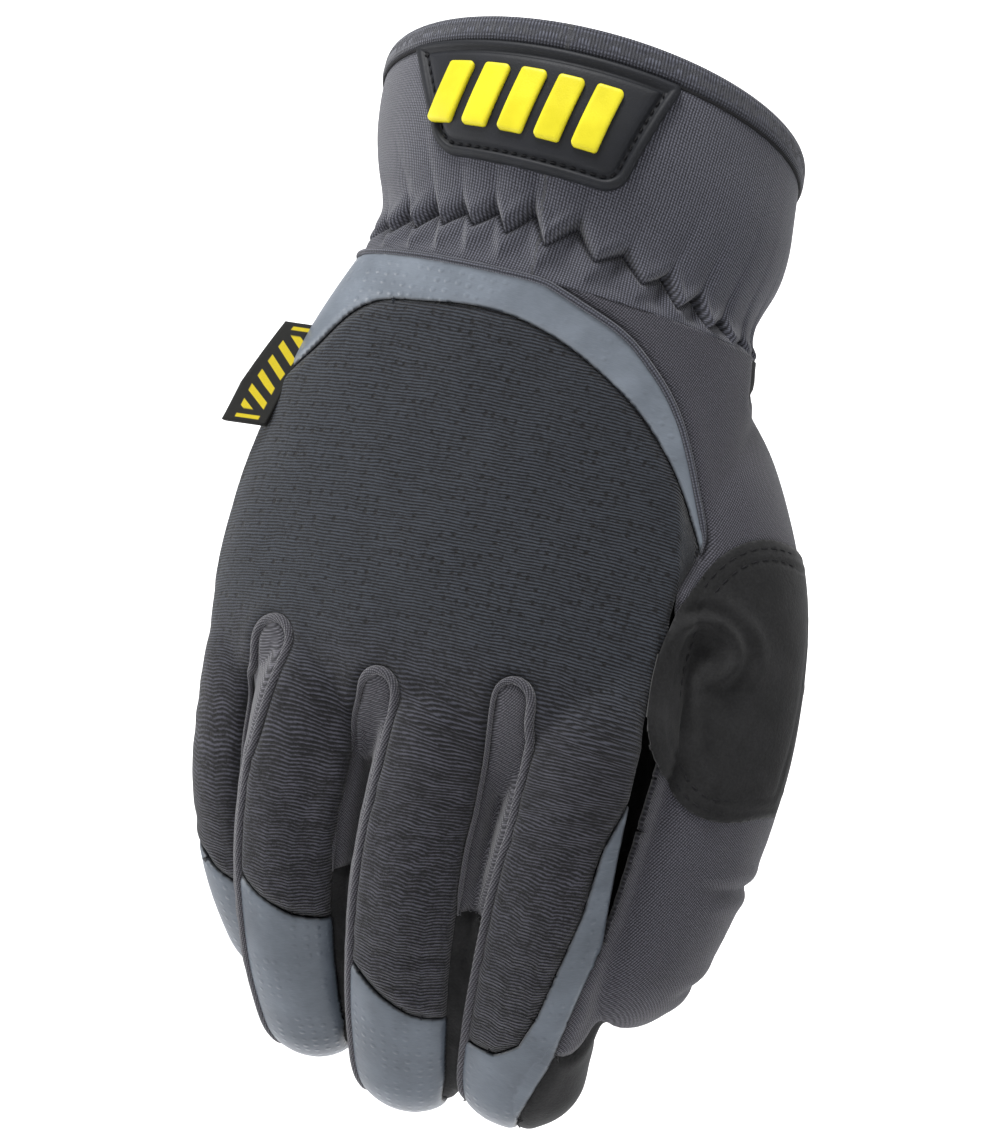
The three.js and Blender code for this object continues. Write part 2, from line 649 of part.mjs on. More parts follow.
// The moulded badge on the cuff, and the bars of its mark.
function badgePieces() {
  const face = (push) => cuffBody(push, cuffRowsBetween(-0.1, 0.9).map((row) => ({ ...row, pucker: 0 })));
  const top = HEM.height * BACK_STRETCH + BADGE.below;
  const at = (x, below) => onCuff(BADGE.x + x, top + below);
  const [wide, narrow] = [BADGE.width / 2, BADGE.foot / 2];
  const slant = (wide - narrow) / BADGE.height;
  const outline = seenFromBack([
    ...[-1, -0.5, 0, 0.5, 1].map((share) => at(share * wide, 0)),
    at(narrow + slant * BADGE.corner, BADGE.height - BADGE.corner),
    at(narrow - 0.3 * BADGE.corner, BADGE.height - 0.25 * BADGE.corner),
    at(narrow - BADGE.corner, BADGE.height),
    at(-narrow + BADGE.corner, BADGE.height),
    at(-narrow + 0.3 * BADGE.corner, BADGE.height - 0.25 * BADGE.corner),
    at(-narrow - slant * BADGE.corner, BADGE.height - BADGE.corner),
  ]);
  const pitch = (MARK.width + MARK.gap) / MARK.bars;
  const bars = Array.from({ length: MARK.bars }, (_, i) => {
    const left = i * pitch - MARK.width / 2;
    const right = left + pitch - MARK.gap;
    const foot = MARK.drop + MARK.height;
    const ends = [
      at(left, MARK.drop),
      at(right, MARK.drop),
      at(right - MARK.lean, foot),
      at(left - MARK.lean, foot),
    ];
    const from = SEAM_GAP + BADGE.thickness;
    const bar = layer((push) => face(from + push), MARK.thickness, seenFromBack(ends), 0);
    return piece(`mark_bar_${i + 1}`, bar, COLOURS.yellow);
  });
  return [piece("cuff_badge", layer(face, BADGE.thickness, outline, 0), COLOURS.rubber), ...bars];
}

// The folded tag in the little finger's side seam.
function tagPiece() {
  const side = (below) => {
    const s = handSection(rowAt(HAND_ROWS, below / HAND.length));
    return new THREE.Vector2(s.place(-s.width, 0).x, s.middle.z);
  };
  const [top, foot] = [side(TAG.below), side(TAG.below + TAG.length)];
  const reach = new THREE.Vector2(TAG.reach, 0);
  const inner = [top, foot].map((p) => p.clone().add(reach));
  const outer = [foot, top].map((p) => p.clone().sub(reach));
  const outline = new THREE.Shape([...inner, ...outer]);
  const tag = slab(outline, TAG.y, TAG.y + TAG.thickness).subtract(handBody(SEAM_GAP));
  return piece("side_tag", tag, COLOURS.yellow);
}

// The suede patch over the fork of the thumb.
function patchPiece() {
  const middle = [PATCH.x, -CUFF.length - PATCH.below];
  const outline = new THREE.Shape();
  outline.absellipse(...middle, PATCH.width / 2, PATCH.length / 2, 0, 2 * Math.PI, false, turn(-PATCH.tilt));
  const patch = layer((push) => handBody(push), PATCH.thickness, outline, PATCH.deep);
  return piece("thumb_patch", patch, COLOURS.suede);
}

const glove = new THREE.Group();
glove.add(...handPanels(), ...cuffPieces(), ...badgePieces(), tagPiece(), patchPiece());
export default glove;
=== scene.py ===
"""Looks of a mechanic's glove for the right hand, filled as when it is worn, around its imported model.

The hand's skin is lofted and joined to one surface, cut along its seam lines into panels of mesh, knit,
leather and vinyl, and each panel gets a cloth's thickness. The cuff, its badge and the trim are built
over it. Metres: +Z out of the cuff, -Y out of the back of the hand, +X to the thumb.
"""

import logging
import math
from collections.abc import Callable, Iterable, Sequence
from dataclasses import dataclass, field, replace
from enum import IntEnum
from typing import Any

import bmesh
import bpy
import numpy as np
from mathutils import Matrix, Vector
from mathutils.kdtree import KDTree


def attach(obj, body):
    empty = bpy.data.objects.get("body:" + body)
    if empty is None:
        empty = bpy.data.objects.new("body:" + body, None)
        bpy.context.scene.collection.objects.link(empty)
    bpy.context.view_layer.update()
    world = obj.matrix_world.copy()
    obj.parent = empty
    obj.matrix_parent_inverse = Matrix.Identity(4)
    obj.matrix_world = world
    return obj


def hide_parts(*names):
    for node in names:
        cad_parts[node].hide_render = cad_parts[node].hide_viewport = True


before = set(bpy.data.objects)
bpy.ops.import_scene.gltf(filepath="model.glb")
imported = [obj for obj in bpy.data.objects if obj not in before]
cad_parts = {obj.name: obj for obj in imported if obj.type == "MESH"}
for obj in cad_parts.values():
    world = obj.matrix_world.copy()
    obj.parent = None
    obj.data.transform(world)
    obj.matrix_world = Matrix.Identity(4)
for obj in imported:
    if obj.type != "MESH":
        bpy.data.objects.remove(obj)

LOG = logging.getLogger("glove")
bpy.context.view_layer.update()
MM = 0.001
Colour = tuple[float, float, float, float]

ACROSS = np.array([1.0, 0.0, 0.0])
BACK = np.array([0.0, -1.0, 0.0])
DOWN = np.array([0.0, 0.0, -1.0])

WALL = 1.4 * MM
CUFF_LENGTH, CUFF_WIDTH, CUFF_DEPTH = 43.2 * MM, 93 * MM, 66 * MM
HAND_LENGTH, HAND_WIDTH, HAND_DEPTH = 104 * MM, 103 * MM, 35 * MM
FINGER_LENGTH, FINGER_WIDTH, FINGER_DEPTH = 108 * MM, 28 * MM, 26 * MM
THUMB_TOP, THUMB_DROP, THUMB_WIDTH, THUMB_DEPTH = 50 * MM, 137 * MM, 31 * MM, 29 * MM
THUMB_ROLL = 52.0
TIP_RINGS = 9  # sections that close a round tip


def table(columns: str, *rows: Sequence[float]) -> dict[str, np.ndarray]:
    """Rows of numbers as named columns.

    Args:
        columns: the columns' names, with spaces between them.
        rows: one row of numbers for each section.

    Returns:
        Each column as an array, by name.
    """
    return dict(zip(columns.split(), np.array(rows, float).T))


# Sections of the cuff, the hand, any finger and the thumb, as shares of their lengths, widths and depths.
CUFF_ROWS = table(
    "at x width depth tilt nod",
    (0.0, 0.0, 1.0, 1.0, 4, 17),
    (0.2, 0.0, 1.01, 1.0, 5, 13),
    (0.4, 0.005, 1.01, 0.98, 6.5, 8),
    (0.58, 0.01, 0.98, 0.9, 7, 5),
    (0.72, 0.01, 0.93, 0.8, 8, 2),
    (0.85, 0.01, 0.91, 0.74, 8, 0),
    (1.0, 0.006, 0.955, 0.72, 6, 0),
)
HAND_ROWS = table(
    "at x y width back palm arch slope tilt",
    (0.0, 0.005, 0, 0.863, 1.358, 1.358, 0, 0, 6),
    (0.1, -0.015, 0, 0.93, 1.22, 1.3, 0.02, 0, 5),
    (0.25, -0.045, 0, 1.01, 1.06, 1.24, 0.07, 0.03, 3),
    (0.42, -0.075, 0, 1.05, 1.0, 1.2, 0.13, 0.08, 2),
    (0.6, -0.095, 0, 1.06, 0.97, 1.2, 0.18, 0.14, 2),
    (0.78, -0.1, 0, 1.04, 0.9, 1.16, 0.21, 0.18, 4),
    (0.88, -0.1, 0.04, 1.0, 0.66, 0.98, 0.23, 0.19, 6),
    (0.97, -0.1, 0.1, 0.9, 0.26, 0.5, 0.24, 0.2, 8),
)
FINGER_ROWS = table(
    "at curl width depth",
    (0.0, 0.1, 0.66, 0.6),
    (0.16, 0.15, 0.99, 1.03),
    (0.36, 0.33, 0.98, 0.97),
    (0.5, 0.6, 1.0, 0.99),
    (0.63, 0.74, 0.97, 0.93),
    (0.75, 0.92, 0.96, 0.9),
    (0.86, 1.0, 0.93, 0.84),
)
THUMB_ROWS = table(
    "at x y width depth",
    (0.0, 0.25, 0.08, 0.66, 0.66),
    (0.18, 0.37, 0.257, 1.04, 1.04),
    (0.35, 0.452, 0.371, 1.06, 1.04),
    (0.54, 0.48, 0.486, 1.05, 0.98),
    (0.7, 0.465, 0.571, 1.0, 0.92),
    (0.86, 0.415, 0.657, 0.9, 0.84),
    (1.0, 0.355, 0.72, 0.7, 0.7),
)

# Seam lines on the back, in shares of half the hand's width and of its length below the wrist seam.
BAND_TOP = table(
    "x at", (-0.4, -0.04), (-0.1, -0.02), (0.23, 0.036), (0.5, 0.11), (0.7, 0.24), (0.85, 0.44)
)
BAND_FOOT = table(
    "x at",
    (-1.2, 0.26),
    (-0.92, 0.16),
    (-0.79, 0.1),
    (-0.4, 0.066),
    (0.08, 0.095),
    (0.35, 0.16),
    (0.58, 0.25),
    (0.73, 0.35),
    (0.81, 0.43),
    (0.85, 0.475),
)
BACK_EDGE = table("x at", (0.85, 0.44), (0.785, 0.55), (0.77, 0.68), (0.77, 0.86))

# The round tops of the gaps between the fingers, and where they narrow to: places in shares of half the
# hand's width and of its length, half widths in shares of a finger's width.
GAPS = table(
    "x at half foot_x foot foot_half",
    (-0.85, 0.726, 0.165, -0.893, 1.0, 0.08),
    (-0.33, 0.809, 0.15, -0.379, 1.1, 0.143),
    (0.247, 0.789, 0.143, 0.2175, 1.1, 0.15),
)

# Half widths of the strips on a finger's back and front, and the caps' upper edges, in its own half widths.
# The places are shares of its length, counted from its root, or in CAP_ROWS from where the cap starts.
STRIP_ROWS = table(
    "at half", (0.02, 1.25), (0.11, 1.1), (0.2, 0.86), (0.38, 0.8), (0.63, 0.8), (0.86, 0.78), (1.06, 0.5)
)
CAP_ROWS = table("at edge", (-0.07, -1.4), (-0.045, -0.75), (-0.01, -0.2), (0.02, 0.35), (0.05, 1.4))
INDEX_CAP_ROWS = table(
    "at edge",
    (0.22, 0.8),
    (0.35, 0.6),
    (0.46, 0.56),
    (0.56, 0.44),
    (0.66, 0.31),
    (0.735, 0.12),
    (0.77, -0.2),
    (0.79, -1.4),
)
INDEX_SIDE_ROWS = table(
    "at edge",
    (0.02, 0.64),
    (0.13, 0.68),
    (0.24, 0.73),
    (0.4, 0.81),
    (0.52, 0.86),
    (0.62, 0.76),
    (0.77, 0.58),
    (0.9, 0.3),
    (1.06, 0.1),
)

# Where a finger's panels start, in shares of its length: the strips on its back and front, and the leather
# on its knit side. All of them end past its tip.
BACK_START, FRONT_START, SIDE_END, PAST_TIP = 0.02, 0.2, 0.5, 1.15

# How far from its middle line points still belong to a finger, in half widths and in half depths.
REACH_ACROSS, REACH_DEEP = 1.7, 1.75
GAP_DEPTH = 20 * MM  # the Y to which the gaps between the fingers are cut, from the back
WEB_DROP = 2 * MM  # how far below the band's end the leather between thumb and index finger starts
CROOK_X, CROOK_Z = 47 * MM, -111 * MM  # the middle of the folds in the crook of the thumb
BULGE_Z = -152 * MM  # where the ring finger's thumb side swells and hides the slit beside it


def column(rows: dict[str, np.ndarray], name: str, at: np.ndarray | float) -> np.ndarray:
    """The value of one column of a table at places between its rows."""
    return np.interp(at, rows["at"], rows[name])


def rounded(rows: dict[str, np.ndarray], name: str, at: np.ndarray, blur: float = 0.05) -> np.ndarray:
    """The same value with the corners between the rows rounded off.

    Args:
        rows: the table.
        name: its column.
        at: places along the limb.
        blur: how far to either side the mean is taken.

    Returns:
        The column's running mean at each place.
    """
    steps = np.linspace(-blur, blur, 9)
    low, high = rows["at"][0], rows["at"][-1]
    reach = np.minimum(1.0, np.minimum(at - low, high - at).clip(0) / blur)
    places = at[:, None] + steps[None, :] * reach[:, None]
    return np.interp(places, rows["at"], rows[name]).mean(axis=1)


def spin(x: float = 0.0, y: float = 0.0, z: float = 0.0, order: str = "XYZ") -> np.ndarray:
    """A turn about the axes in degrees, as a 3x3 array, with the last axis of the order applied first.

    Args:
        x: the turn about X.
        y: the turn about Y.
        z: the turn about Z.
        order: the axes, the last applied first.

    Returns:
        The turn's matrix.
    """
    angles = {"X": x, "Y": y, "Z": z}
    made = Matrix.Identity(3)
    for axis in order:
        made = made @ Matrix.Rotation(math.radians(angles[axis]), 3, axis)
    return np.array(made)


def smoothstep(low: float, high: float, value: np.ndarray) -> np.ndarray:
    """A soft step from 0 at the low value to 1 at the high one."""
    t = np.clip((value - low) / (high - low), 0, 1)
    return t * t * (3 - 2 * t)


def hump(value: np.ndarray | float, middle: float, width: float) -> np.ndarray:
    """A smooth hump: 1 at the middle and near 0 from two widths on."""
    return np.exp(-(((value - middle) / width) ** 2))


def tapered(count: int, least: float, end: float) -> np.ndarray:
    """Shares of a bead's radius, which fall towards both its ends.

    Args:
        count: how many points the bead has.
        least: the share at its very ends.
        end: the share of its length over which it falls.

    Returns:
        One share for each point.
    """
    place = np.linspace(0, 1, count)
    return least + (1 - least) * smoothstep(0, end, place) * smoothstep(1, 1 - end, place)


class Part(IntEnum):
    """The panels that the hand's skin is cut into."""

    NONE = 0
    BACK_PANEL = 1
    WRIST_BAND = 2
    SIDE_KNIT = 3
    PALM_PANEL = 4
    LITTLE_CAP = 5
    RING_CAP = 6
    MIDDLE_CAP = 7
    INDEX_CAP = 8
    LITTLE_RING = 9
    RING_MIDDLE = 10
    MIDDLE_INDEX = 11


CAPS = (Part.LITTLE_CAP, Part.RING_CAP, Part.MIDDLE_CAP, Part.INDEX_CAP)
WEBS = (Part.LITTLE_RING, Part.RING_MIDDLE, Part.MIDDLE_INDEX)
KNITS = (*WEBS, Part.SIDE_KNIT)
NODE_OF = {
    Part.BACK_PANEL: "back_panel",
    Part.WRIST_BAND: "wrist_band",
    Part.SIDE_KNIT: "side_knit",
    Part.PALM_PANEL: "palm_panel",
    Part.LITTLE_CAP: "little_tip_cap",
    Part.RING_CAP: "ring_tip_cap",
    Part.MIDDLE_CAP: "middle_tip_cap",
    Part.INDEX_CAP: "index_tip_cap",
    Part.LITTLE_RING: "little_ring_fourchette",
    Part.RING_MIDDLE: "ring_middle_fourchette",
    Part.MIDDLE_INDEX: "middle_index_fourchette",
}

# The finish of each panel and its slot in the record.
LOOK_OF = {
    Part.BACK_PANEL: ("mesh", "black_mesh"),
    Part.WRIST_BAND: ("vinyl", "grey_vinyl"),
    Part.SIDE_KNIT: ("knit", "grey_knit"),
    Part.PALM_PANEL: ("leather", "black_leather"),
    # The caps take a darker copy of the band's vinyl as painted shade.
    **dict.fromkeys(CAPS, ("cap_vinyl_painted_shade", "grey_vinyl")),
    **dict.fromkeys(WEBS, ("web_knit", "grey_knit")),
}


@dataclass
class Stations:
    """Cross-sections along a limb: one row of each array for a section."""

    at: np.ndarray
    middle: np.ndarray
    across: np.ndarray
    out: np.ndarray
    width: np.ndarray
    back: np.ndarray
    palm: np.ndarray
    arch: np.ndarray | float = 0.0
    slope: np.ndarray | float = 0.0

    def rings(self, sides: int) -> np.ndarray:
        """The outline of each section, as an array of sections by sides by three.

        Args:
            sides: how many points each outline has.

        Returns:
            The outlines' points.
        """
        angle = np.linspace(0, 2 * math.pi, sides, endpoint=False)
        s, c = np.sin(angle)[None, :], np.cos(angle)[None, :]
        across = self.width[:, None] * s
        out = np.where(c > 0, self.back[:, None], self.palm[:, None]) * c
        share = across / self.width[:, None]
        arch, slope = (np.broadcast_to(v, self.at.shape)[:, None] for v in (self.arch, self.slope))
        out = out - arch * share**2 + slope * share
        return (
            self.middle[:, None, :]
            + across[..., None] * self.across[:, None, :]
            + out[..., None] * self.out[:, None, :]
        )


@dataclass(frozen=True)
class Local:
    """Where points lie on a limb: along it, across it, out of its back, and against its half sizes."""

    at: np.ndarray
    across: np.ndarray
    out: np.ndarray
    width: np.ndarray
    deep: np.ndarray

    @property
    def share(self) -> np.ndarray:
        """The distance across in half widths."""
        return self.across / self.width

    @property
    def radius(self) -> np.ndarray:
        """The distance from the middle line, which is 1 on the limb's own surface."""
        return np.hypot(self.share, self.out / self.deep)


@dataclass(frozen=True)
class Finger:
    """One finger: its root on the hand, its share of a finger's sizes, and how it bends and leans."""

    name: str
    x: float
    y: float
    below: float
    long: float
    wide: float
    curl: float
    lean: float
    roll: float
    left: float
    right: float
    cap: float

    @property
    def length(self) -> float:
        """The length of the middle line."""
        return FINGER_LENGTH * self.long

    def stations(self, at: np.ndarray, soft: bool = False) -> Stations:
        """Cross-sections at shares of the finger's length.

        Args:
            at: the places, which may lie past the tip.
            soft: whether the corners of the table are rounded off.

        Returns:
            The sections, with the tip not yet rounded.
        """
        turned = spin(y=-self.lean, z=self.roll, order="YZX")
        across, back, down = (turned @ axis for axis in (ACROSS, BACK, DOWN))
        fine = np.linspace(0, max(1.2, float(at.max())), 601)
        bend = np.radians(self.curl * column(FINGER_ROWS, "curl", fine))
        way = np.cos(bend)[:, None] * down - np.sin(bend)[:, None] * back
        steps = (way[1:] + way[:-1]) / 2 * (fine[1] - fine[0]) * self.length
        root = np.array([self.x * HAND_WIDTH, self.y * HAND_DEPTH, -CUFF_LENGTH - self.below * HAND_LENGTH])
        line = root + np.vstack([np.zeros(3), np.cumsum(steps, axis=0)])
        middle = np.stack([np.interp(at, fine, line[:, i]) for i in range(3)], axis=1)
        turn = np.radians(self.curl * column(FINGER_ROWS, "curl", at))
        out = np.cos(turn)[:, None] * back + np.sin(turn)[:, None] * down
        read = rounded if soft else column
        width = read(FINGER_ROWS, "width", at) * FINGER_WIDTH * self.wide / 2
        depth = read(FINGER_ROWS, "depth", at) * FINGER_DEPTH * self.wide / 2
        return Stations(at, middle, np.tile(across, (len(at), 1)), out, width, depth, depth)


FINGERS = (
    Finger("little", -0.505, 0.36, 0.6, 0.87, 0.79, 54, -5.5, -20, left=2.1, right=0.79, cap=0.67),
    Finger("ring", -0.32, 0.057, 0.68, 0.96, 0.97, 54, -4.5, -10, left=0.76, right=1.12, cap=0.565),
    Finger("middle", -0.015, -0.057, 0.69, 1.02, 1.03, 50, -5, -2, left=0.92, right=1.05, cap=0.68),
    Finger("index", 0.3, 0.0, 0.68, 1.01, 1.13, 46, -7, 6, left=0.88, right=1.0, cap=0.77),
)


def hand_stations(at: np.ndarray, soft: bool = False) -> Stations:
    """Cross-sections of the hand at shares of its length below the wrist seam.

    Args:
        at: the places.
        soft: whether the corners of the table are rounded off.

    Returns:
        The sections.
    """
    read = rounded if soft else column
    value = {name: read(HAND_ROWS, name, at) for name in HAND_ROWS if name != "at"}
    tilt = np.radians(value["tilt"])
    nothing = np.zeros_like(at)
    middle = np.stack(
        [value["x"] * HAND_WIDTH, value["y"] * HAND_DEPTH, -CUFF_LENGTH - at * HAND_LENGTH], axis=1
    )
    across = np.stack([np.cos(tilt), nothing, -np.sin(tilt)], axis=1)
    half = HAND_DEPTH / 2
    return Stations(
        at,
        middle,
        across,
        np.tile(BACK, (len(at), 1)),
        value["width"] * HAND_WIDTH / 2,
        value["back"] * half,
        value["palm"] * half,
        value["arch"] * HAND_DEPTH,
        value["slope"] * HAND_DEPTH,
    )


def thumb_stations(at: np.ndarray, soft: bool = False) -> Stations:
    """Cross-sections of the thumb at shares of its middle line, which runs through the table's places.

    Args:
        at: the places, which may lie past the tip.
        soft: whether the corners of the table are rounded off.

    Returns:
        The sections, with the tip not yet rounded.
    """
    z = -THUMB_TOP - THUMB_ROWS["at"] * THUMB_DROP
    places = np.stack([THUMB_ROWS["x"] * HAND_WIDTH, THUMB_ROWS["y"] * HAND_DEPTH, z], axis=1)
    count = len(places) - 1
    padded = np.vstack([2 * places[0] - places[1], places, 2 * places[-1] - places[-2]])
    place = np.clip(at, 0, 1) * count
    i = np.minimum(place.astype(int), count - 1)
    t = (place - i)[:, None]
    a, b, c, d = (padded[i + k] for k in range(4))
    square, cube = 2 * a - 5 * b + 4 * c - d, 3 * b - a - 3 * c + d
    line = 0.5 * (2 * b + (c - a) * t + square * t**2 + cube * t**3)
    slope = 0.5 * ((c - a) + 2 * square * t + 3 * cube * t**2)
    along = slope / np.linalg.norm(slope, axis=1)[:, None]
    roll = math.radians(THUMB_ROLL)
    out = np.tile([math.sin(roll), -math.cos(roll), 0.0], (len(at), 1))
    across = np.cross(out, along)
    across /= np.linalg.norm(across, axis=1)[:, None]
    out = np.cross(along, across)
    line = line + along * (np.maximum(0, at - 1) * THUMB_DROP)[:, None]
    rows = dict(THUMB_ROWS, at=np.linspace(0, 1, count + 1))
    read = rounded if soft else column
    width = read(rows, "width", at) * THUMB_WIDTH / 2
    depth = read(rows, "depth", at) * THUMB_DEPTH / 2
    return Stations(at, line, across, out, width, depth, depth)


def with_tip(stations: Callable[..., Stations], start: float, count: int = 44) -> Stations:
    """A limb's sections with a round tip.

    Args:
        stations: the limb's own function.
        start: where along the limb the tip begins to close.
        count: how many sections lie before it.

    Returns:
        All the sections, with the last ones drawn in.
    """
    angle = np.linspace(0, math.radians(86), TIP_RINGS + 1)[1:]
    at = np.concatenate([np.linspace(0, start, count), start + (1 - start) * np.sin(angle)])
    squeeze = np.concatenate([np.ones(count), np.cos(angle)])
    made = stations(at, True)
    return replace(made, width=made.width * squeeze, back=made.back * squeeze, palm=made.palm * squeeze)


def nearest_on(stations: Stations, points: np.ndarray) -> Local:
    """Where points lie against the closest section of a limb.

    Args:
        stations: the limb's sections, evenly spaced.
        points: the points, one in each row.

    Returns:
        Their places on the limb.
    """
    square = (points**2).sum(1)[:, None] - 2 * points @ stations.middle.T
    square += (stations.middle**2).sum(1)[None, :]
    i = square.argmin(axis=1)
    away = points - stations.middle[i]
    across, out = ((away * axis[i]).sum(1) for axis in (stations.across, stations.out))
    along = np.gradient(stations.middle, axis=0)
    pace = np.linalg.norm(along, axis=1)
    rest = (away * (along / pace[:, None])[i]).sum(1)
    at = stations.at[i] + rest / pace[i] * (stations.at[1] - stations.at[0])
    return Local(at, across, out, stations.width[i], stations.back[i])


def on_hand(points: np.ndarray) -> Local:
    """Where points lie against the hand's sections.

    Args:
        points: the points, one in each row.

    Returns:
        Their places on the hand.
    """
    at = (-CUFF_LENGTH - points[:, 2]) / HAND_LENGTH
    for _ in range(3):
        s = hand_stations(at)
        across = ((points - s.middle) * s.across).sum(1)
        at = (-CUFF_LENGTH - points[:, 2] + across * s.across[:, 2]) / HAND_LENGTH
    share = across / s.width
    out = s.middle[:, 1] - points[:, 1] + s.arch * share**2 - s.slope * share
    return Local(at, across, out, s.width, np.where(out > 0, s.back, s.palm))


@dataclass
class Places:
    """Points of the skin as seen from each limb."""

    points: np.ndarray
    hand: Local = field(init=False)
    thumb: Local = field(init=False)
    fingers: list[Local] = field(init=False)

    def __post_init__(self) -> None:
        """Works out the places on each limb."""
        steps = np.linspace(0, 1.16, 117)
        self.hand = on_hand(self.points)
        self.thumb = nearest_on(thumb_stations(steps), self.points)
        self.fingers = [nearest_on(finger.stations(steps), self.points) for finger in FINGERS]

    def nearest(self) -> tuple[np.ndarray, np.ndarray]:
        """Which finger is nearest to each point.

        Returns:
            The finger's number, and the share across it, at each point.
        """
        near = np.stack([local.radius for local in self.fingers], axis=1).argmin(axis=1)
        share = np.stack([local.share for local in self.fingers], axis=1)
        return near, np.take_along_axis(share, near[:, None], axis=1)[:, 0]


def seam_height(rows: dict[str, np.ndarray], x: np.ndarray) -> np.ndarray:
    """The height of a seam line that runs across the back, drawn smooth through its points.

    Args:
        rows: the seam's table.
        x: places across the hand, in metres.

    Returns:
        The seam's Z at each place.
    """
    knots, below = rows["x"] * HAND_WIDTH / 2, rows["at"] * HAND_LENGTH
    rise = np.gradient(below, knots)
    i = np.clip(np.searchsorted(knots, x) - 1, 0, len(knots) - 2)
    span = knots[i + 1] - knots[i]
    t = np.clip((x - knots[i]) / span, 0, 1)
    value = (
        (2 * t**3 - 3 * t**2 + 1) * below[i]
        + (t**3 - 2 * t**2 + t) * span * rise[i]
        + (3 * t**2 - 2 * t**3) * below[i + 1]
        + (t**3 - t**2) * span * rise[i + 1]
    )
    return -CUFF_LENGTH - value


def back_seam(finger: Finger, at: np.ndarray) -> np.ndarray:
    """The seam on the thumb side of a finger's back, as a share of the finger's half width.

    Args:
        finger: the finger.
        at: places along it.

    Returns:
        The share at each place.
    """
    if finger.name == "index":
        return column(INDEX_SIDE_ROWS, "edge", at)
    return column(STRIP_ROWS, "half", at) * finger.right


def in_strip(finger: Finger, local: Local, side: int) -> np.ndarray:
    """Whether points lie in the strip on a finger's back (side 1) or front (side -1), between its seams.

    Args:
        finger: the finger.
        local: the points' places on it.
        side: which strip.

    Returns:
        True for each point that does.
    """
    half = column(STRIP_ROWS, "half", local.at)
    deep = REACH_DEEP * local.deep
    along = (local.at > (BACK_START if side > 0 else FRONT_START)) & (local.at < PAST_TIP)
    if side > 0:
        inside = (local.share > -half * finger.left) & (local.share < back_seam(finger, local.at))
        return along & inside & (local.out > 0) & (local.out < deep)
    left = REACH_ACROSS if finger.name == "little" else half
    right = REACH_ACROSS if finger.name == "index" else half
    return along & (local.share > -left) & (local.share < right) & (local.out <= 0) & (local.out > -deep)


def in_wrap(finger: Finger, local: Local) -> np.ndarray:
    """Whether points lie on a finger's thumb side where the palm's leather wraps round.

    Args:
        finger: the finger.
        local: the points' places on it.

    Returns:
        True for each point that does.
    """
    start = BACK_START if finger.name == "index" else SIDE_END
    beyond = local.share > back_seam(finger, local.at)
    return (local.at > start) & (local.at < PAST_TIP) & beyond & (local.radius < 1.2)


def in_cap(finger: Finger, local: Local) -> np.ndarray:
    """Whether points lie below the upper edge of a finger's cap.

    Args:
        finger: the finger.
        local: the points' places on it.

    Returns:
        True for each point that does.
    """
    if finger.name == "index":
        edge = column(INDEX_CAP_ROWS, "edge", local.at)
        return (local.at > INDEX_CAP_ROWS["at"][0]) & (local.share > edge)
    past = local.at - finger.cap
    edge = column(CAP_ROWS, "edge", past)
    return (past > CAP_ROWS["at"][0]) & ((local.share < edge) | (past > CAP_ROWS["at"][-1]))


def in_gap(number: int, points: np.ndarray) -> np.ndarray:
    """Whether points lie in the gap between two fingers as it is seen on the back, with a round top.

    Args:
        number: the gap's row in the table.
        points: the points, one in each row.

    Returns:
        True for each point that does.
    """
    row = {name: values[number] for name, values in GAPS.items()}
    half, foot_half = row["half"] * FINGER_WIDTH, row["foot_half"] * FINGER_WIDTH
    top = np.array([row["x"] * HAND_WIDTH / 2, -CUFF_LENGTH - row["at"] * HAND_LENGTH - half])
    foot = np.array([row["foot_x"] * HAND_WIDTH / 2, -CUFF_LENGTH - row["foot"] * HAND_LENGTH])
    x, z = points[:, 0], points[:, 2]
    t = np.clip((top[1] - z) / (top[1] - foot[1]), 0, 1)
    middle = top[0] + t * (foot[0] - top[0])
    width = half + t * (foot_half - half)
    straight = (z <= top[1]) & (z > foot[1]) & (np.abs(x - middle) < width)
    return straight | (z > top[1]) & (np.hypot(x - top[0], z - top[1]) < half)


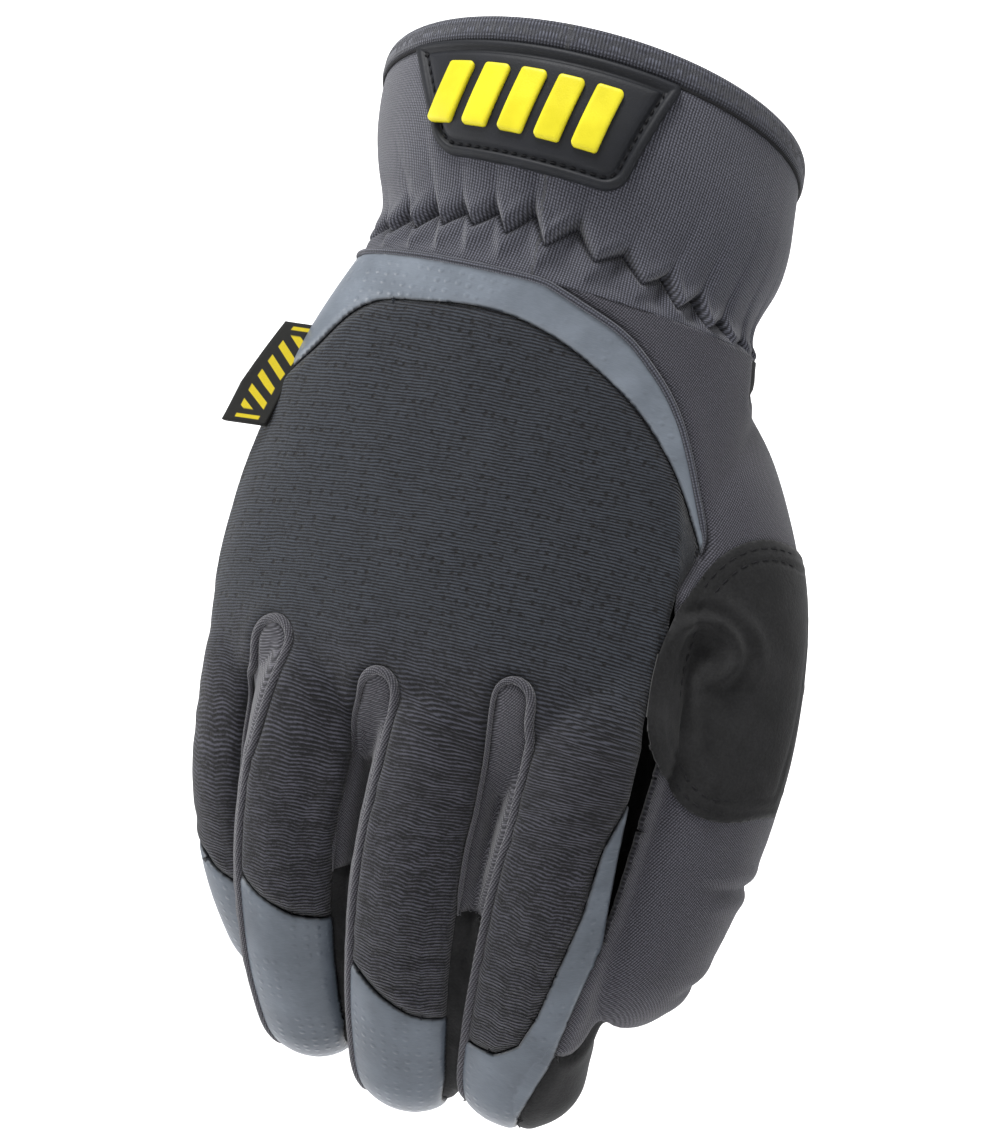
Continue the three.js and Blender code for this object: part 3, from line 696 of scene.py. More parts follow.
def part_at(points: np.ndarray) -> np.ndarray:
    """Which panel each point of the skin belongs to.

    Args:
        points: the points, one in each row.

    Returns:
        The number of a Part for each point.
    """
    here = Places(points)
    hand, thumb = here.hand, here.thumb
    x, z = points[:, 0], points[:, 2]
    strips = [in_strip(f, l, 1) for f, l in zip(FINGERS, here.fingers)]
    edge_x = np.interp(-z, CUFF_LENGTH + BACK_EDGE["at"] * HAND_LENGTH, BACK_EDGE["x"] * HAND_WIDTH / 2)
    above_edge = z > -CUFF_LENGTH - BACK_EDGE["at"][0] * HAND_LENGTH
    inside = np.where(above_edge, z < seam_height(BAND_TOP, x), x < edge_x)
    inside &= (x < BACK_EDGE["x"][0] * HAND_WIDTH / 2) & (hand.at < BACK_EDGE["at"][-1])
    back = (inside & (hand.out > 0)) | np.any(strips, axis=0)
    gaps = np.any([in_gap(number, points) for number in range(len(WEBS))], axis=0)
    back &= ~(gaps & (points[:, 1] < GAP_DEPTH))
    part = np.full(len(points), int(Part.NONE))
    part[back] = Part.BACK_PANEL
    part[back & (z > seam_height(BAND_FOOT, x))] = Part.WRIST_BAND
    for cap, finger, local, strip in zip(CAPS, FINGERS, here.fingers, strips):
        part[back & strip & in_cap(finger, local)] = cap
    web_top = BACK_EDGE["at"][0] + WEB_DROP / HAND_LENGTH
    side = (hand.out > 0) & (hand.at < web_top) & (hand.at > -0.2)
    near_thumb = (np.abs(thumb.share) < 1.5) & (thumb.radius < 1.25)
    side |= (thumb.out > 0) & near_thumb
    part[(part == Part.NONE) & side] = Part.SIDE_KNIT
    palm = (hand.out <= 0) & (hand.at < 0.97) | (thumb.out <= 0) & near_thumb
    web_foot = web_top + FINGER_LENGTH / HAND_LENGTH
    palm |= (x > FINGERS[-1].x * HAND_WIDTH) & (hand.at > web_top) & (hand.at < web_foot)
    for finger, local in zip(FINGERS, here.fingers):
        palm |= in_strip(finger, local, -1)
        palm |= in_wrap(finger, local)
    part[(part == Part.NONE) & palm] = Part.PALM_PANEL
    near, share = here.nearest()
    gap = np.clip(near + (share > 0) - 1, 0, len(WEBS) - 1)
    part[part == Part.NONE] = np.array(WEBS, int)[gap][part == Part.NONE]
    part[hand.at < 0] = Part.NONE
    return part


def cloth_run(points: np.ndarray) -> np.ndarray:
    """How the cloth runs at each point: metres across it and metres down it from the wrist.

    Args:
        points: the points, one in each row.

    Returns:
        Both distances for each point.
    """
    here = Places(points)
    hand = here.hand
    across, down = hand.across + 0, hand.at * HAND_LENGTH
    nearest = np.full(len(points), np.inf)
    for finger, local in zip(FINGERS, here.fingers):
        weight = smoothstep(0.1, 0.5, local.at) * (local.radius < nearest)
        nearest = np.minimum(nearest, np.where(local.at > 0.04, local.radius, np.inf))
        arc = local.width * np.arctan2(local.across / local.width, local.out / local.deep)
        root = finger.x * HAND_WIDTH
        across = across * (1 - weight) + weight * (root + arc)
        down = down * (1 - weight) + weight * (finger.below * HAND_LENGTH + local.at * finger.length)
    thumb = here.thumb
    weight = smoothstep(0.3, 0.1, thumb.radius - 0.95) * smoothstep(0.05, 0.3, thumb.at)
    weight *= thumb.radius < nearest
    arc = thumb.width * np.arctan2(thumb.share, thumb.out / thumb.deep)
    across = across * (1 - weight) + weight * (HAND_WIDTH / 2 + arc)
    down = down * (1 - weight) + weight * (thumb.at * THUMB_DROP)
    return np.stack([across, down], axis=1)


def mesh_object(name: str, bm: bmesh.types.BMesh) -> bpy.types.Object:
    """A finished bmesh as an object at the origin, which frees the bmesh.

    Args:
        name: the piece's name.
        bm: its shape, in the row frame.

    Returns:
        The object, linked to the scene.
    """
    for face in bm.faces:
        face.smooth = True
        face.material_index = 0
    mesh = bpy.data.meshes.new(name)
    bm.to_mesh(mesh)
    bm.free()
    made = bpy.data.objects.new(name, mesh)
    bpy.context.scene.collection.objects.link(made)
    return made


def loft(rings: Iterable[np.ndarray]) -> bmesh.types.BMesh:
    """A closed body through rings of as many points, each bridged to the next.

    Args:
        rings: the outlines, in order.

    Returns:
        The body, with its faces pointing out.
    """
    bm = bmesh.new()
    loops = []
    for ring in rings:
        verts = bmesh.ops.create_circle(bm, segments=len(ring), radius=1.0, cap_ends=False)["verts"]
        for vert, place in zip(verts, ring):
            vert.co = place
        loops.append(list(dict.fromkeys(edge for vert in verts for edge in vert.link_edges)))
    for one, other in zip(loops, loops[1:]):
        bmesh.ops.bridge_loops(bm, edges=one + other)
    for loop in (loops[0], loops[-1]):
        bmesh.ops.contextual_create(bm, geom=loop)
    bmesh.ops.recalc_face_normals(bm, faces=bm.faces)
    return bm


def grid(
    columns: int, rows: int, place: Callable[[np.ndarray, np.ndarray], np.ndarray], wraps: bool = True
) -> bmesh.types.BMesh:
    """A sheet of quads placed by a function of two shares, which may close on itself.

    Args:
        columns: faces along the first share.
        rows: faces along the second.
        place: gives the points for arrays of both shares, from 0 to 1, and may give cloth runs after them.
        wraps: whether the ends of the first share are merged.

    Returns:
        The sheet, with its cloth run where place gives one.
    """
    bm = bmesh.new()
    bmesh.ops.create_grid(bm, x_segments=columns, y_segments=rows, size=0.5)
    share = np.array([vert.co[:2] for vert in bm.verts]) + 0.5
    points = place(share[:, 0], share[:, 1])
    run = bm.verts.layers.float_vector.new("weave")
    for vert, row in zip(bm.verts, points):
        vert.co = row[:3]
        if len(row) > 3:
            vert[run] = Vector(row[3:6])
    if wraps:
        bmesh.ops.remove_doubles(bm, verts=bm.verts, dist=1e-7)
    return bm


@dataclass(frozen=True)
class Line:
    """A line on the skin, with the way out of the skin at each of its points."""

    points: np.ndarray
    normals: np.ndarray

    @property
    def closed(self) -> bool:
        """Whether the line ends where it starts."""
        return bool(np.linalg.norm(self.points[0] - self.points[-1]) < 1e-6)

    @property
    def run(self) -> np.ndarray:
        """How far along the line each of its points lies."""
        steps = np.linalg.norm(np.diff(self.points, axis=0), axis=1)
        return np.concatenate([[0.0], np.cumsum(steps)])

    def softened(self, passes: int = 6) -> "Line":
        """The same line with its small corners rounded.

        Args:
            passes: how often its points are averaged.

        Returns:
            The new line.
        """
        points, normals = self.points.copy(), self.normals.copy()
        for _ in range(passes):
            for rows in (points, normals):
                rows[1:-1] = rows[1:-1] * 0.5 + (rows[:-2] + rows[2:]) * 0.25
                if self.closed:
                    rows[0] = rows[-1] = rows[0] * 0.5 + (rows[1] + rows[-2]) * 0.25
        return Line(points, normals)

    def paced(self, step: float) -> "Line":
        """The same line with its points one step apart.

        Args:
            step: the distance between points.

        Returns:
            The new line.
        """
        run = self.run
        at = np.linspace(0, run[-1], max(3, round(run[-1] / step) + 1))
        values = np.hstack([self.points, self.normals]).T
        made = np.stack([np.interp(at, run, value) for value in values], axis=1)
        return Line(made[:, :3], made[:, 3:])

    def frames(self) -> tuple[np.ndarray, np.ndarray, np.ndarray]:
        """The way along, the way aside and the way out at each point.

        Returns:
            The three directions, each of length 1.
        """
        along = np.gradient(self.points, axis=0)
        along /= np.linalg.norm(along, axis=1)[:, None]
        aside = np.cross(along, self.normals)
        aside /= np.linalg.norm(aside, axis=1)[:, None]
        return along, aside, np.cross(aside, along)

    def within(self, wanted: np.ndarray) -> "Line":
        """The longest stretch of the line whose points are wanted.

        Args:
            wanted: whether each point is wanted.

        Returns:
            That stretch.
        """
        if wanted.all():
            return self
        turn = int(np.flatnonzero(~wanted)[0]) if self.closed else 0
        order = np.roll(np.arange(len(wanted)), -turn)
        parts = np.split(order, np.flatnonzero(np.diff(wanted[order].astype(int))) + 1)
        longest = max((part for part in parts if wanted[part[0]]), key=len, default=order[:2])
        return Line(self.points[longest], self.normals[longest])

    def moved(self, out: float) -> "Line":
        """The same line moved out of the skin."""
        normal = self.frames()[2]
        return Line(self.points + normal * out, normal)


def tube(line: Line, radius: np.ndarray | float, sides: int = 10) -> bmesh.types.BMesh:
    """A round bead along a line, with closed ends and its cloth run.

    Args:
        line: where it runs.
        radius: its radius, at each point or for all of them.
        sides: faces around it.

    Returns:
        The bead.
    """
    _, aside, out = line.frames()
    size = np.broadcast_to(radius, (len(line.points),))[:, None, None]
    angle = np.linspace(0, 2 * math.pi, sides, endpoint=False)[None, :, None]
    way = np.cos(angle) * aside[:, None, :] + np.sin(angle) * out[:, None, :]
    bm = loft(line.points[:, None, :] + size * way)
    run = bm.verts.layers.float_vector.new("weave")
    pace = line.run
    around = np.linspace(0, 2 * math.pi * float(np.mean(size)), sides, endpoint=False)
    for i, vert in enumerate(bm.verts):
        vert[run] = Vector((around[i % sides], pace[i // sides], 5 * MM))
    return bm


def stitched(lines: Iterable[Line], pitch: float, radius: float) -> bmesh.types.BMesh:
    """Short threads along lines, a gap apart, sunk a little at their ends.

    Args:
        lines: the rows of stitches.
        pitch: from one stitch to the next.
        radius: the thread's.

    Returns:
        All the stitches as one mesh.
    """
    bm = bmesh.new()
    for line in lines:
        paced = line.paced(pitch)
        along, aside, out = paced.frames()
        for place, x, y, z in zip(paced.points, along, aside, out):
            turned = Matrix((x, y, z)).transposed().to_4x4()
            size = Matrix.Diagonal((pitch * 0.38, radius, radius, 1))
            bmesh.ops.create_icosphere(
                bm, subdivisions=1, radius=1.0, matrix=Matrix.Translation(place) @ turned @ size
            )
    bmesh.ops.recalc_face_normals(bm, faces=bm.faces)
    return bm


def cut_apart(bm: bmesh.types.BMesh, label_at: Callable[[np.ndarray], np.ndarray]) -> None:
    """Splits a surface along the lines where a label changes, and numbers its faces by their label.

    Args:
        bm: the surface, whose faces become triangles and quads, with the label as their material index.
        label_at: the label of each of an array of points, from 0 up.
    """
    bmesh.ops.triangulate(bm, faces=bm.faces)
    label = bm.verts.layers.int.new("label")
    bm.verts.index_update()
    points = np.array([vert.co for vert in bm.verts])
    labels = label_at(points)
    for vert, value in zip(bm.verts, labels.tolist()):
        vert[label] = value + 1
    ends = np.array([[vert.index for vert in edge.verts] for edge in bm.edges])
    crossing = np.flatnonzero(labels[ends[:, 0]] != labels[ends[:, 1]])
    start, way = points[ends[crossing, 0]], points[ends[crossing, 1]] - points[ends[crossing, 0]]
    low, high = np.zeros(len(crossing)), np.ones(len(crossing))
    for _ in range(9):
        middle = (low + high) / 2
        same = label_at(start + way * middle[:, None]) == labels[ends[crossing, 0]]
        low, high = np.where(same, middle, low), np.where(same, high, middle)
    share = np.clip((low + high) / 2, 0.08, 0.92)
    bm.edges.ensure_lookup_table()
    split = [(bm.edges[i], t) for i, t in zip(crossing.tolist(), share.tolist())]
    cuts = []
    for edge, t in split:
        _, vert = bmesh.utils.edge_split(edge, edge.verts[0], t)
        vert[label] = 0
        cuts.append(vert)
    forks = []
    for face in dict.fromkeys(face for vert in cuts for face in vert.link_faces):
        ends_here = [vert for vert in face.verts if vert[label] == 0]
        if len(ends_here) == 2:
            bmesh.utils.face_split(face, *ends_here)
        elif len(ends_here) > 2:
            forks.append(face)
    for vert in bmesh.ops.poke(bm, faces=forks)["verts"]:
        vert[label] = 0
    for face in bm.faces:
        face.material_index = max(max(vert[label] for vert in face.verts) - 1, 0)
    bm.verts.index_update()


def seam_edges(bm: bmesh.types.BMesh, wanted: Callable[[set[int]], bool]) -> list[bmesh.types.BMEdge]:
    """The edges between faces with different labels, where the pair of labels is wanted.

    Args:
        bm: the cut surface.
        wanted: whether a pair of labels makes a seam.

    Returns:
        The edges.
    """
    found = []
    for edge in bm.edges:
        pair = {face.material_index for face in edge.link_faces}
        if len(pair) == 1 and len(edge.link_faces) == 1:
            pair.add(int(Part.NONE))
        if len(pair) == 2 and wanted(pair):
            found.append(edge)
    return found


def linked(edges: Iterable[bmesh.types.BMEdge]) -> dict[Any, list[Any]]:
    """The points that edges link to each other.

    Args:
        edges: the edges to follow.

    Returns:
        For each of their points, the points at the other ends.
    """
    links: dict[Any, list[Any]] = {}
    for edge in edges:
        a, b = edge.verts
        links.setdefault(a, []).append(b)
        links.setdefault(b, []).append(a)
    return links


def tree_of(verts: Sequence[bmesh.types.BMVert]) -> KDTree:
    """A tree that finds the nearest of some points.

    Args:
        verts: the points.

    Returns:
        The balanced tree.
    """
    tree = KDTree(len(verts))
    for i, vert in enumerate(verts):
        tree.insert(vert.co, i)
    tree.balance()
    return tree


def seam_lines(bm: bmesh.types.BMesh, wanted: Callable[[set[int]], bool], shortest: float) -> list[Line]:
    """The seams between pairs of labels, as lines on the skin.

    Args:
        bm: the cut skin.
        wanted: whether a pair of labels makes a seam.
        shortest: lines under this length are left out.

    Returns:
        The lines, each in order from end to end, softened.
    """
    links = linked(seam_edges(bm, wanted))
    found = []
    starts = [vert for vert in links if len(links[vert]) != 2] + list(links)
    used: set[frozenset[Any]] = set()
    for start in starts:
        for step in links[start]:
            if frozenset((start, step)) in used:
                continue
            chain = [start, step]
            used.add(frozenset((start, step)))
            while len(links[chain[-1]]) == 2 and chain[-1] is not start:
                ahead = [v for v in links[chain[-1]] if frozenset((chain[-1], v)) not in used]
                if not ahead:
                    break
                used.add(frozenset((chain[-1], ahead[0])))
                chain.append(ahead[0])
            line = Line(np.array([vert.co for vert in chain]), np.array([vert.normal for vert in chain]))
            if line.run[-1] > shortest:
                found.append(line.softened())
    return found


@dataclass
class Skin:
    """The whole hand in one surface, cut along the seams of its panels."""

    voxel: float = 0.9 * MM
    smoothing: int = 9
    base: bmesh.types.BMesh = field(init=False)
    cut: bmesh.types.BMesh = field(init=False)
    seams: KDTree = field(init=False)

    def __post_init__(self) -> None:
        """Lofts and joins the limbs, cuts the surface and measures from its seams."""
        self.base = self.joined()
        self.cut = self.base.copy()
        cut_apart(self.cut, part_at)
        outside = [face for face in self.cut.faces if face.material_index == Part.NONE]
        bmesh.ops.delete(self.cut, geom=outside, context="FACES")
        self.soften_seams()
        self.mark_runs()

    def joined(self) -> bmesh.types.BMesh:
        """The limbs' lofts as one closed surface of even faces.

        Returns:
            The surface, softened.
        """
        hand = hand_stations(np.linspace(-0.16, 0.97, 60), True)
        bodies = [loft(hand.rings(96))]
        bodies += [loft(with_tip(finger.stations, 0.86).rings(48)) for finger in FINGERS]
        bodies.append(loft(with_tip(thumb_stations, 0.86, 40).rings(56)))
        joined = bmesh.new()
        for body in bodies:
            part = bpy.data.meshes.new("limb")
            body.to_mesh(part)
            body.free()
            joined.from_mesh(part)
            bpy.data.meshes.remove(part)
        raw = mesh_object("skin", joined)
        remesh = raw.modifiers.new("even", "REMESH")
        remesh.mode = "VOXEL"
        remesh.voxel_size = self.voxel
        soften = raw.modifiers.new("soft", "SMOOTH")
        soften.factor = 0.5
        soften.iterations = self.smoothing
        done = raw.evaluated_get(bpy.context.evaluated_depsgraph_get())
        mesh = bpy.data.meshes.new_from_object(done)
        made = bmesh.new()
        made.from_mesh(mesh)
        bpy.data.objects.remove(raw)
        bpy.data.meshes.remove(mesh)
        bmesh.ops.recalc_face_normals(made, faces=made.faces)
        LOG.info("skin of %d faces", len(made.faces))
        return made

    def soften_seams(self) -> None:
        """Rounds the small steps of the cut lines and keeps their points for measuring."""
        links = linked(seam_edges(self.cut, lambda pair: True))
        for _ in range(4):
            places = {
                vert: vert.co * 0.5 + (ends[0].co + ends[1].co) * 0.25
                for vert, ends in links.items()
                if len(ends) == 2
            }
            for vert, place in places.items():
                vert.co = place
        self.cut.normal_update()
        self.seams = tree_of([vert for vert in links if not vert.is_boundary])

    def mark_runs(self) -> None:
        """Writes how the cloth runs, and the distance from the nearest seam, on every point."""
        self.cut.verts.index_update()
        points = np.array([vert.co for vert in self.cut.verts])
        runs = cloth_run(points)
        layer = self.cut.verts.layers.float_vector.new("weave")
        for vert, (across, down) in zip(self.cut.verts, runs.tolist()):
            vert[layer] = Vector((across, down, self.seams.find(vert.co)[2]))

    def panel(self, part: Part) -> bmesh.types.BMesh:
        """A copy of the faces with one label, without crumbs.

        Args:
            part: the label.

        Returns:
            The panel's surface.
        """
        made = self.cut.copy()
        others = [face for face in made.faces if face.material_index != part]
        bmesh.ops.delete(made, geom=others, context="FACES")
        drop_crumbs(made)
        return made


def drop_crumbs(bm: bmesh.types.BMesh) -> None:
    """Leaves only the largest connected part of a surface.

    Args:
        bm: the surface.
    """
    groups, seen = [], set()
    for first in bm.faces:
        if first in seen:
            continue
        group, wave = [], [first]
        seen.add(first)
        while wave:
            face = wave.pop()
            group.append(face)
            for edge in face.edges:
                for other in edge.link_faces:
                    if other not in seen:
                        seen.add(other)
                        wave.append(other)
        groups.append(group)
    groups.sort(key=len, reverse=True)
    crumbs = [face for group in groups[1:] for face in group]
    bmesh.ops.delete(bm, geom=crumbs, context="FACES")


def solidified(piece: bpy.types.Object, thickness: float = WALL) -> bpy.types.Object:
    """Gives a surface a wall that grows inwards.

    Args:
        piece: the surface's object.
        thickness: the wall's.

    Returns:
        The same piece.
    """
    wall = piece.modifiers.new("wall", "SOLIDIFY")
    wall.thickness = thickness
    wall.offset = -1.0
    return piece


def settled(piece: bpy.types.Object, finish: bpy.types.Material, slot: str, *nodes: str) -> bpy.types.Object:
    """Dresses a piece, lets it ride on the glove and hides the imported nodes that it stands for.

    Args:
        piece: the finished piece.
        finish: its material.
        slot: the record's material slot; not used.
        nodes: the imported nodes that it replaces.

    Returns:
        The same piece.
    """
    piece.data.materials.clear()
    piece.data.materials.append(finish)
    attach(piece, "root")
    if nodes:
        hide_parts(*nodes)
    LOG.info("%s: %d faces", piece.name, len(piece.data.polygons))
    return piece


def srgb(red: int, green: int, blue: int) -> Colour:
    """A colour given in 0 to 255 as the linear values that a shader takes.

    Args:
        red: its red.
        green: its green.
        blue: its blue.

    Returns:
        The colour, with full cover.
    """
    shares = (value / 255 for value in (red, green, blue))
    linear = [s / 12.92 if s <= 0.04045 else ((s + 0.055) / 1.055) ** 2.4 for s in shares]
    return (linear[0], linear[1], linear[2], 1.0)


class Value:
    """One socket of a material, which Python's operators combine through Math nodes."""

    def __init__(self, recipe: "Recipe", socket: bpy.types.NodeSocket) -> None:
        """Wraps a socket of the recipe's tree."""
        self.recipe = recipe
        self.socket = socket

    def math(self, operation: str, *others: "Value | float") -> "Value":
        """A Math node on this value and others."""
        return self.recipe.make("ShaderNodeMath", {"operation": operation}, self, *others)

    def __add__(self, other: "Value | float") -> "Value":
        """The sum."""
        return self.math("ADD", other)

    def __radd__(self, other: float) -> "Value":
        """The sum, with a number first."""
        return self + other

    def __sub__(self, other: "Value | float") -> "Value":
        """The difference."""
        return self.math("SUBTRACT", other)

    def __rsub__(self, other: float) -> "Value":
        """The difference from a number."""
        return self.recipe.make("ShaderNodeMath", {"operation": "SUBTRACT"}, other, self)

    def __mul__(self, other: "Value | float") -> "Value":
        """The product."""
        return self.math("MULTIPLY", other)

    def __rmul__(self, other: float) -> "Value":
        """The product, with a number first."""
        return self * other

    def __truediv__(self, other: "Value | float") -> "Value":
        """The quotient."""
        return self.math("DIVIDE", other)

    def __rtruediv__(self, other: float) -> "Value":
        """The quotient of a number by the value."""
        return self.recipe.make("ShaderNodeMath", {"operation": "DIVIDE"}, other, self)

    def sine(self) -> "Value":
        """The sine of the value in radians."""
        return self.math("SINE")

    def wave(self) -> "Value":
        """A wave from 0 to 1 with one crest for each whole number."""
        return (self * (2 * math.pi)).math("COSINE") * 0.5 + 0.5

    def clamped(self) -> "Value":
        """The value kept between 0 and 1."""
        return self.recipe.make("ShaderNodeClamp", {}, self, 0.0, 1.0)

    def step(self, low: float, high: float) -> "Value":
        """A soft step from 0 at the low value to 1 at the high one."""
        settings = {"interpolation_type": "SMOOTHSTEP"}
        return self.recipe.make("ShaderNodeMapRange", settings, self, low, high, 0.0, 1.0)

    def fall(self, low: float, high: float) -> "Value":
        """A soft step from 1 at the low value to 0 at the high one."""
        settings = {"interpolation_type": "SMOOTHSTEP"}
        return self.recipe.make("ShaderNodeMapRange", settings, self, low, high, 1.0, 0.0)


class Recipe:
    """A material under construction around one Principled shader."""

    def __init__(self, name: str) -> None:
        """Starts a material with an empty tree but for the shader and the output.

        Args:
            name: the material's name.
        """
        self.material = bpy.data.materials.new(name)
        self.material.use_nodes = True
        self.tree = self.material.node_tree
        self.shader = self.tree.nodes["Principled BSDF"]

    def make(self, kind: str, settings: dict[str, Any], *inputs: Any, output: int = 0, **named: Any) -> Value:
        """Adds a node.

        Args:
            kind: the node's type.
            settings: its own settings, set before its sockets.
            inputs: values or links for its sockets in order, with None for one that is left.
            output: which of its outputs is wanted.
            named: values or links for sockets by name.

        Returns:
            That output.
        """
        node = self.tree.nodes.new(kind)
        for name, value in settings.items():
            setattr(node, name, value)
        wanted = [(node.inputs[name], value) for name, value in named.items()]
        for socket, value in [*zip(node.inputs, inputs), *wanted]:
            if isinstance(value, Value):
                self.tree.links.new(value.socket, socket)
            elif value is not None:
                socket.default_value = value
        return Value(self, node.outputs[output])

    def run(self) -> tuple[Value, Value, Value]:
        """The cloth's run: millimetres across, down, and from the nearest seam.

        Returns:
            The three values.
        """
        vector = self.make("ShaderNodeAttribute", {"attribute_name": "weave"}, output=1)
        parts = self.make("ShaderNodeSeparateXYZ", {}, vector)
        outputs = parts.socket.node.outputs
        return tuple(Value(self, socket) * 1000.0 for socket in outputs)

    def together(self, x: Value | float, y: Value | float, z: Value | float = 0.0) -> Value:
        """Three values as one vector."""
        return self.make("ShaderNodeCombineXYZ", {}, x, y, z)

    def place(self) -> Value:
        """The point in the row frame."""
        return self.make("ShaderNodeTexCoord", {}, output=3)

    def noise(self, vector: Value, scale: float, detail: float = 3.0, rough: float = 0.55) -> Value:
        """Smooth noise around 0.5."""
        return self.make("ShaderNodeTexNoise", {}, vector, None, scale, detail, rough)

    def dots(self, vector: Value, scale: float, random: float = 1.0) -> Value:
        """The distance from scattered points, in cells."""
        return self.make("ShaderNodeTexVoronoi", {}, Vector=vector, Scale=scale, Randomness=random)

    def mixed(self, share: Value, one: Any, other: Any) -> Value:
        """One colour at 0 and the other at 1."""
        numbers = [None] * 5
        return self.make("ShaderNodeMix", {"data_type": "RGBA"}, share, *numbers, one, other, output=2)

    def feed(self, socket: str, value: Value) -> None:
        """Links a value to one of the shader's sockets."""
        self.tree.links.new(value.socket, self.shader.inputs[socket])

    def fix(self, **values: float) -> None:
        """Sets the shader's own sockets, by names with underscores."""
        for name, value in values.items():
            self.shader.inputs[name.replace("_", " ")].default_value = value

    def relief(self, height: Value, deep: float) -> None:
        """Turns a height from 0 to 1 into bumps of so many metres."""
        self.feed("Normal", self.make("ShaderNodeBump", {}, Strength=1.0, Distance=deep, Height=height))


@dataclass(frozen=True)
class Knit:
    """Stretch knit: a fine square grid of stitches, painted light on their crowns and shade in their hollows,
    with painted shade near the seams.
    """

    name: str
    crown: Colour
    hollow: Colour
    pitch: float
    twill: float = 0.0

    def build(self) -> bpy.types.Material:
        """Builds the material.

        Returns:
            The material, with its tree.
        """
        recipe = Recipe(self.name)
        across, down, seam = recipe.run()
        cloth = recipe.together(across, down)
        drift = recipe.noise(cloth, 0.3, 1.0) * 0.4
        x = (across + down * self.twill) / self.pitch + drift
        y = (down - across * self.twill) / self.pitch + drift
        grid_height = x.wave() * (y.wave() * 0.65 + 0.35)
        fuzz = recipe.noise(cloth, 3.1, 2.0)
        height = grid_height * 0.6 + fuzz * 0.7
        patches = recipe.noise(cloth, 0.055, 3.0)
        # Painted light and shade on the stitches: high crowns take the crown colour as if lit, low hollows
        # take the dark hollow colour as shade.
        stitch_light_and_shade = recipe.mixed(height.step(0.25, 0.95), self.hollow, self.crown)
        # Painted shade: the colour falls towards near black within about 1.6 mm of a seam, in the cuff's
        # tucks and under its binding; the patches are random tone.
        shade = seam.step(0.0, 1.6) * 0.45 + 0.55
        tone = shade * (patches * 0.35 + 0.82)
        colour = recipe.mixed(tone.clamped(), srgb(10, 10, 12), stitch_light_and_shade)
        recipe.feed("Base Color", colour)
        recipe.relief(height, 0.22 * MM)
        recipe.fix(Roughness=0.92, Sheen_Weight=0.25, Sheen_Roughness=0.5, Specular_IOR_Level=0.25)
        return recipe.material


@dataclass(frozen=True)
class RibMesh:
    """Ribbed mesh: light threads across the hand over a dark ground, with rows of small open cells."""

    name: str
    thread: Colour
    ground: Colour
    pitch: float = 0.66
    scallop: float = 5.6

    def build(self) -> bpy.types.Material:
        """Builds the material.

        Returns:
            The material, with its tree.
        """
        recipe = Recipe(self.name)
        across, down, seam = recipe.run()
        cloth = recipe.together(across, down)
        lower = down.step(70, 96)
        column = across / self.scallop
        bow = (column * math.pi).sine().math("ABSOLUTE") * 0.5 * lower
        drift = recipe.noise(cloth, 0.09, 2.0) * 2.2
        rib = (down / self.pitch + bow + drift).wave()
        dashes = recipe.noise(recipe.together(across * 0.8, down * 3.0), 1.0, 3.0, 0.65)
        bands = recipe.noise(recipe.together(across * 0.2, down * 0.42), 1.0, 2.0, 0.5)
        cells = recipe.dots(recipe.together(across / 2.3, down / 2.6), 1.0, 0.35).fall(0.08, 0.32)
        cells = cells * (1.0 - lower * 0.7)
        stitches = recipe.noise(cloth, 3.4, 2.0)
        height = rib * 0.34 + dashes * 0.62 + bands * (lower * 0.16 + 0.22) + stitches * 0.3 - cells * 0.2
        lit = (height - lower * 0.14).step(0.62, 0.92)
        # Painted shade: the mesh falls towards near black within about 2.2 mm of a seam.
        shade = seam.step(0.0, 2.2) * 0.5 + 0.5
        upper = recipe.mixed(lower, srgb(52, 57, 66), self.thread)
        colour = recipe.mixed(lit, self.ground, upper)
        recipe.feed("Base Color", recipe.mixed(shade.clamped(), srgb(6, 6, 8), colour))
        recipe.relief(height, 0.45 * MM)
        recipe.fix(Roughness=0.85, Sheen_Weight=0.15, Sheen_Roughness=0.5, Specular_IOR_Level=0.3)
        return recipe.material


@dataclass(frozen=True)
class Vinyl:
    """Soft grey vinyl with a satin face and rows of faint dimples."""

    name: str
    light: Colour
    dark: Colour

    def build(self) -> bpy.types.Material:
        """Builds the material.

        Returns:
            The material, with its tree.
        """
        recipe = Recipe(self.name)
        across, down, seam = recipe.run()
        cloth = recipe.together(across, down)
        dimples = recipe.dots(recipe.together(across / 2.5, down / 2.0), 1.0, 0.25).fall(0.08, 0.36)
        areas = recipe.noise(cloth, 0.06, 2.0).step(0.36, 0.6)
        brushed = recipe.noise(recipe.together(across * 0.6, down * 5.0), 1.0, 4.0)
        height = dimples * areas * 0.8 + brushed * 0.12 + seam.step(0.0, 0.8) * 0.3
        tone = (recipe.noise(cloth, 0.09, 3.0) * 0.7 + brushed * 0.3).step(0.25, 0.8)
        colour = recipe.mixed(tone, self.dark, self.light)
        # Painted shade: the vinyl darkens within about 0.7 mm of a seam, where it turns down into the seam.
        edge = seam.step(0.0, 0.7)
        recipe.feed("Base Color", recipe.mixed(edge, srgb(38, 41, 46), colour))
        recipe.feed("Roughness", dimples * areas * -0.08 + 0.4)
        recipe.relief(height, 0.16 * MM)
        recipe.fix(Specular_IOR_Level=0.5)
        return recipe.material


@dataclass(frozen=True)
class Leather:
    """Napped synthetic leather: very dark, with a short uneven nap."""

    name: str
    nap: Colour
    deep: Colour

    def build(self) -> bpy.types.Material:
        """Builds the material.

        Returns:
            The material, with its tree.
        """
        recipe = Recipe(self.name)
        place = recipe.place()
        grain = recipe.noise(place, 1900.0, 3.0)
        blotch = recipe.noise(place, 130.0, 4.0, 0.6)
        rub = recipe.noise(place, 420.0, 3.0)
        height = grain * 0.6 + rub * 0.5
        lit = (blotch * 0.55 + grain * 0.45).step(0.32, 0.72)
        recipe.feed("Base Color", recipe.mixed(lit, self.deep, self.nap))
        recipe.relief(height, 0.14 * MM)
        recipe.fix(Roughness=0.93, Sheen_Weight=0.12, Sheen_Roughness=0.6, Specular_IOR_Level=0.2)
        return recipe.material


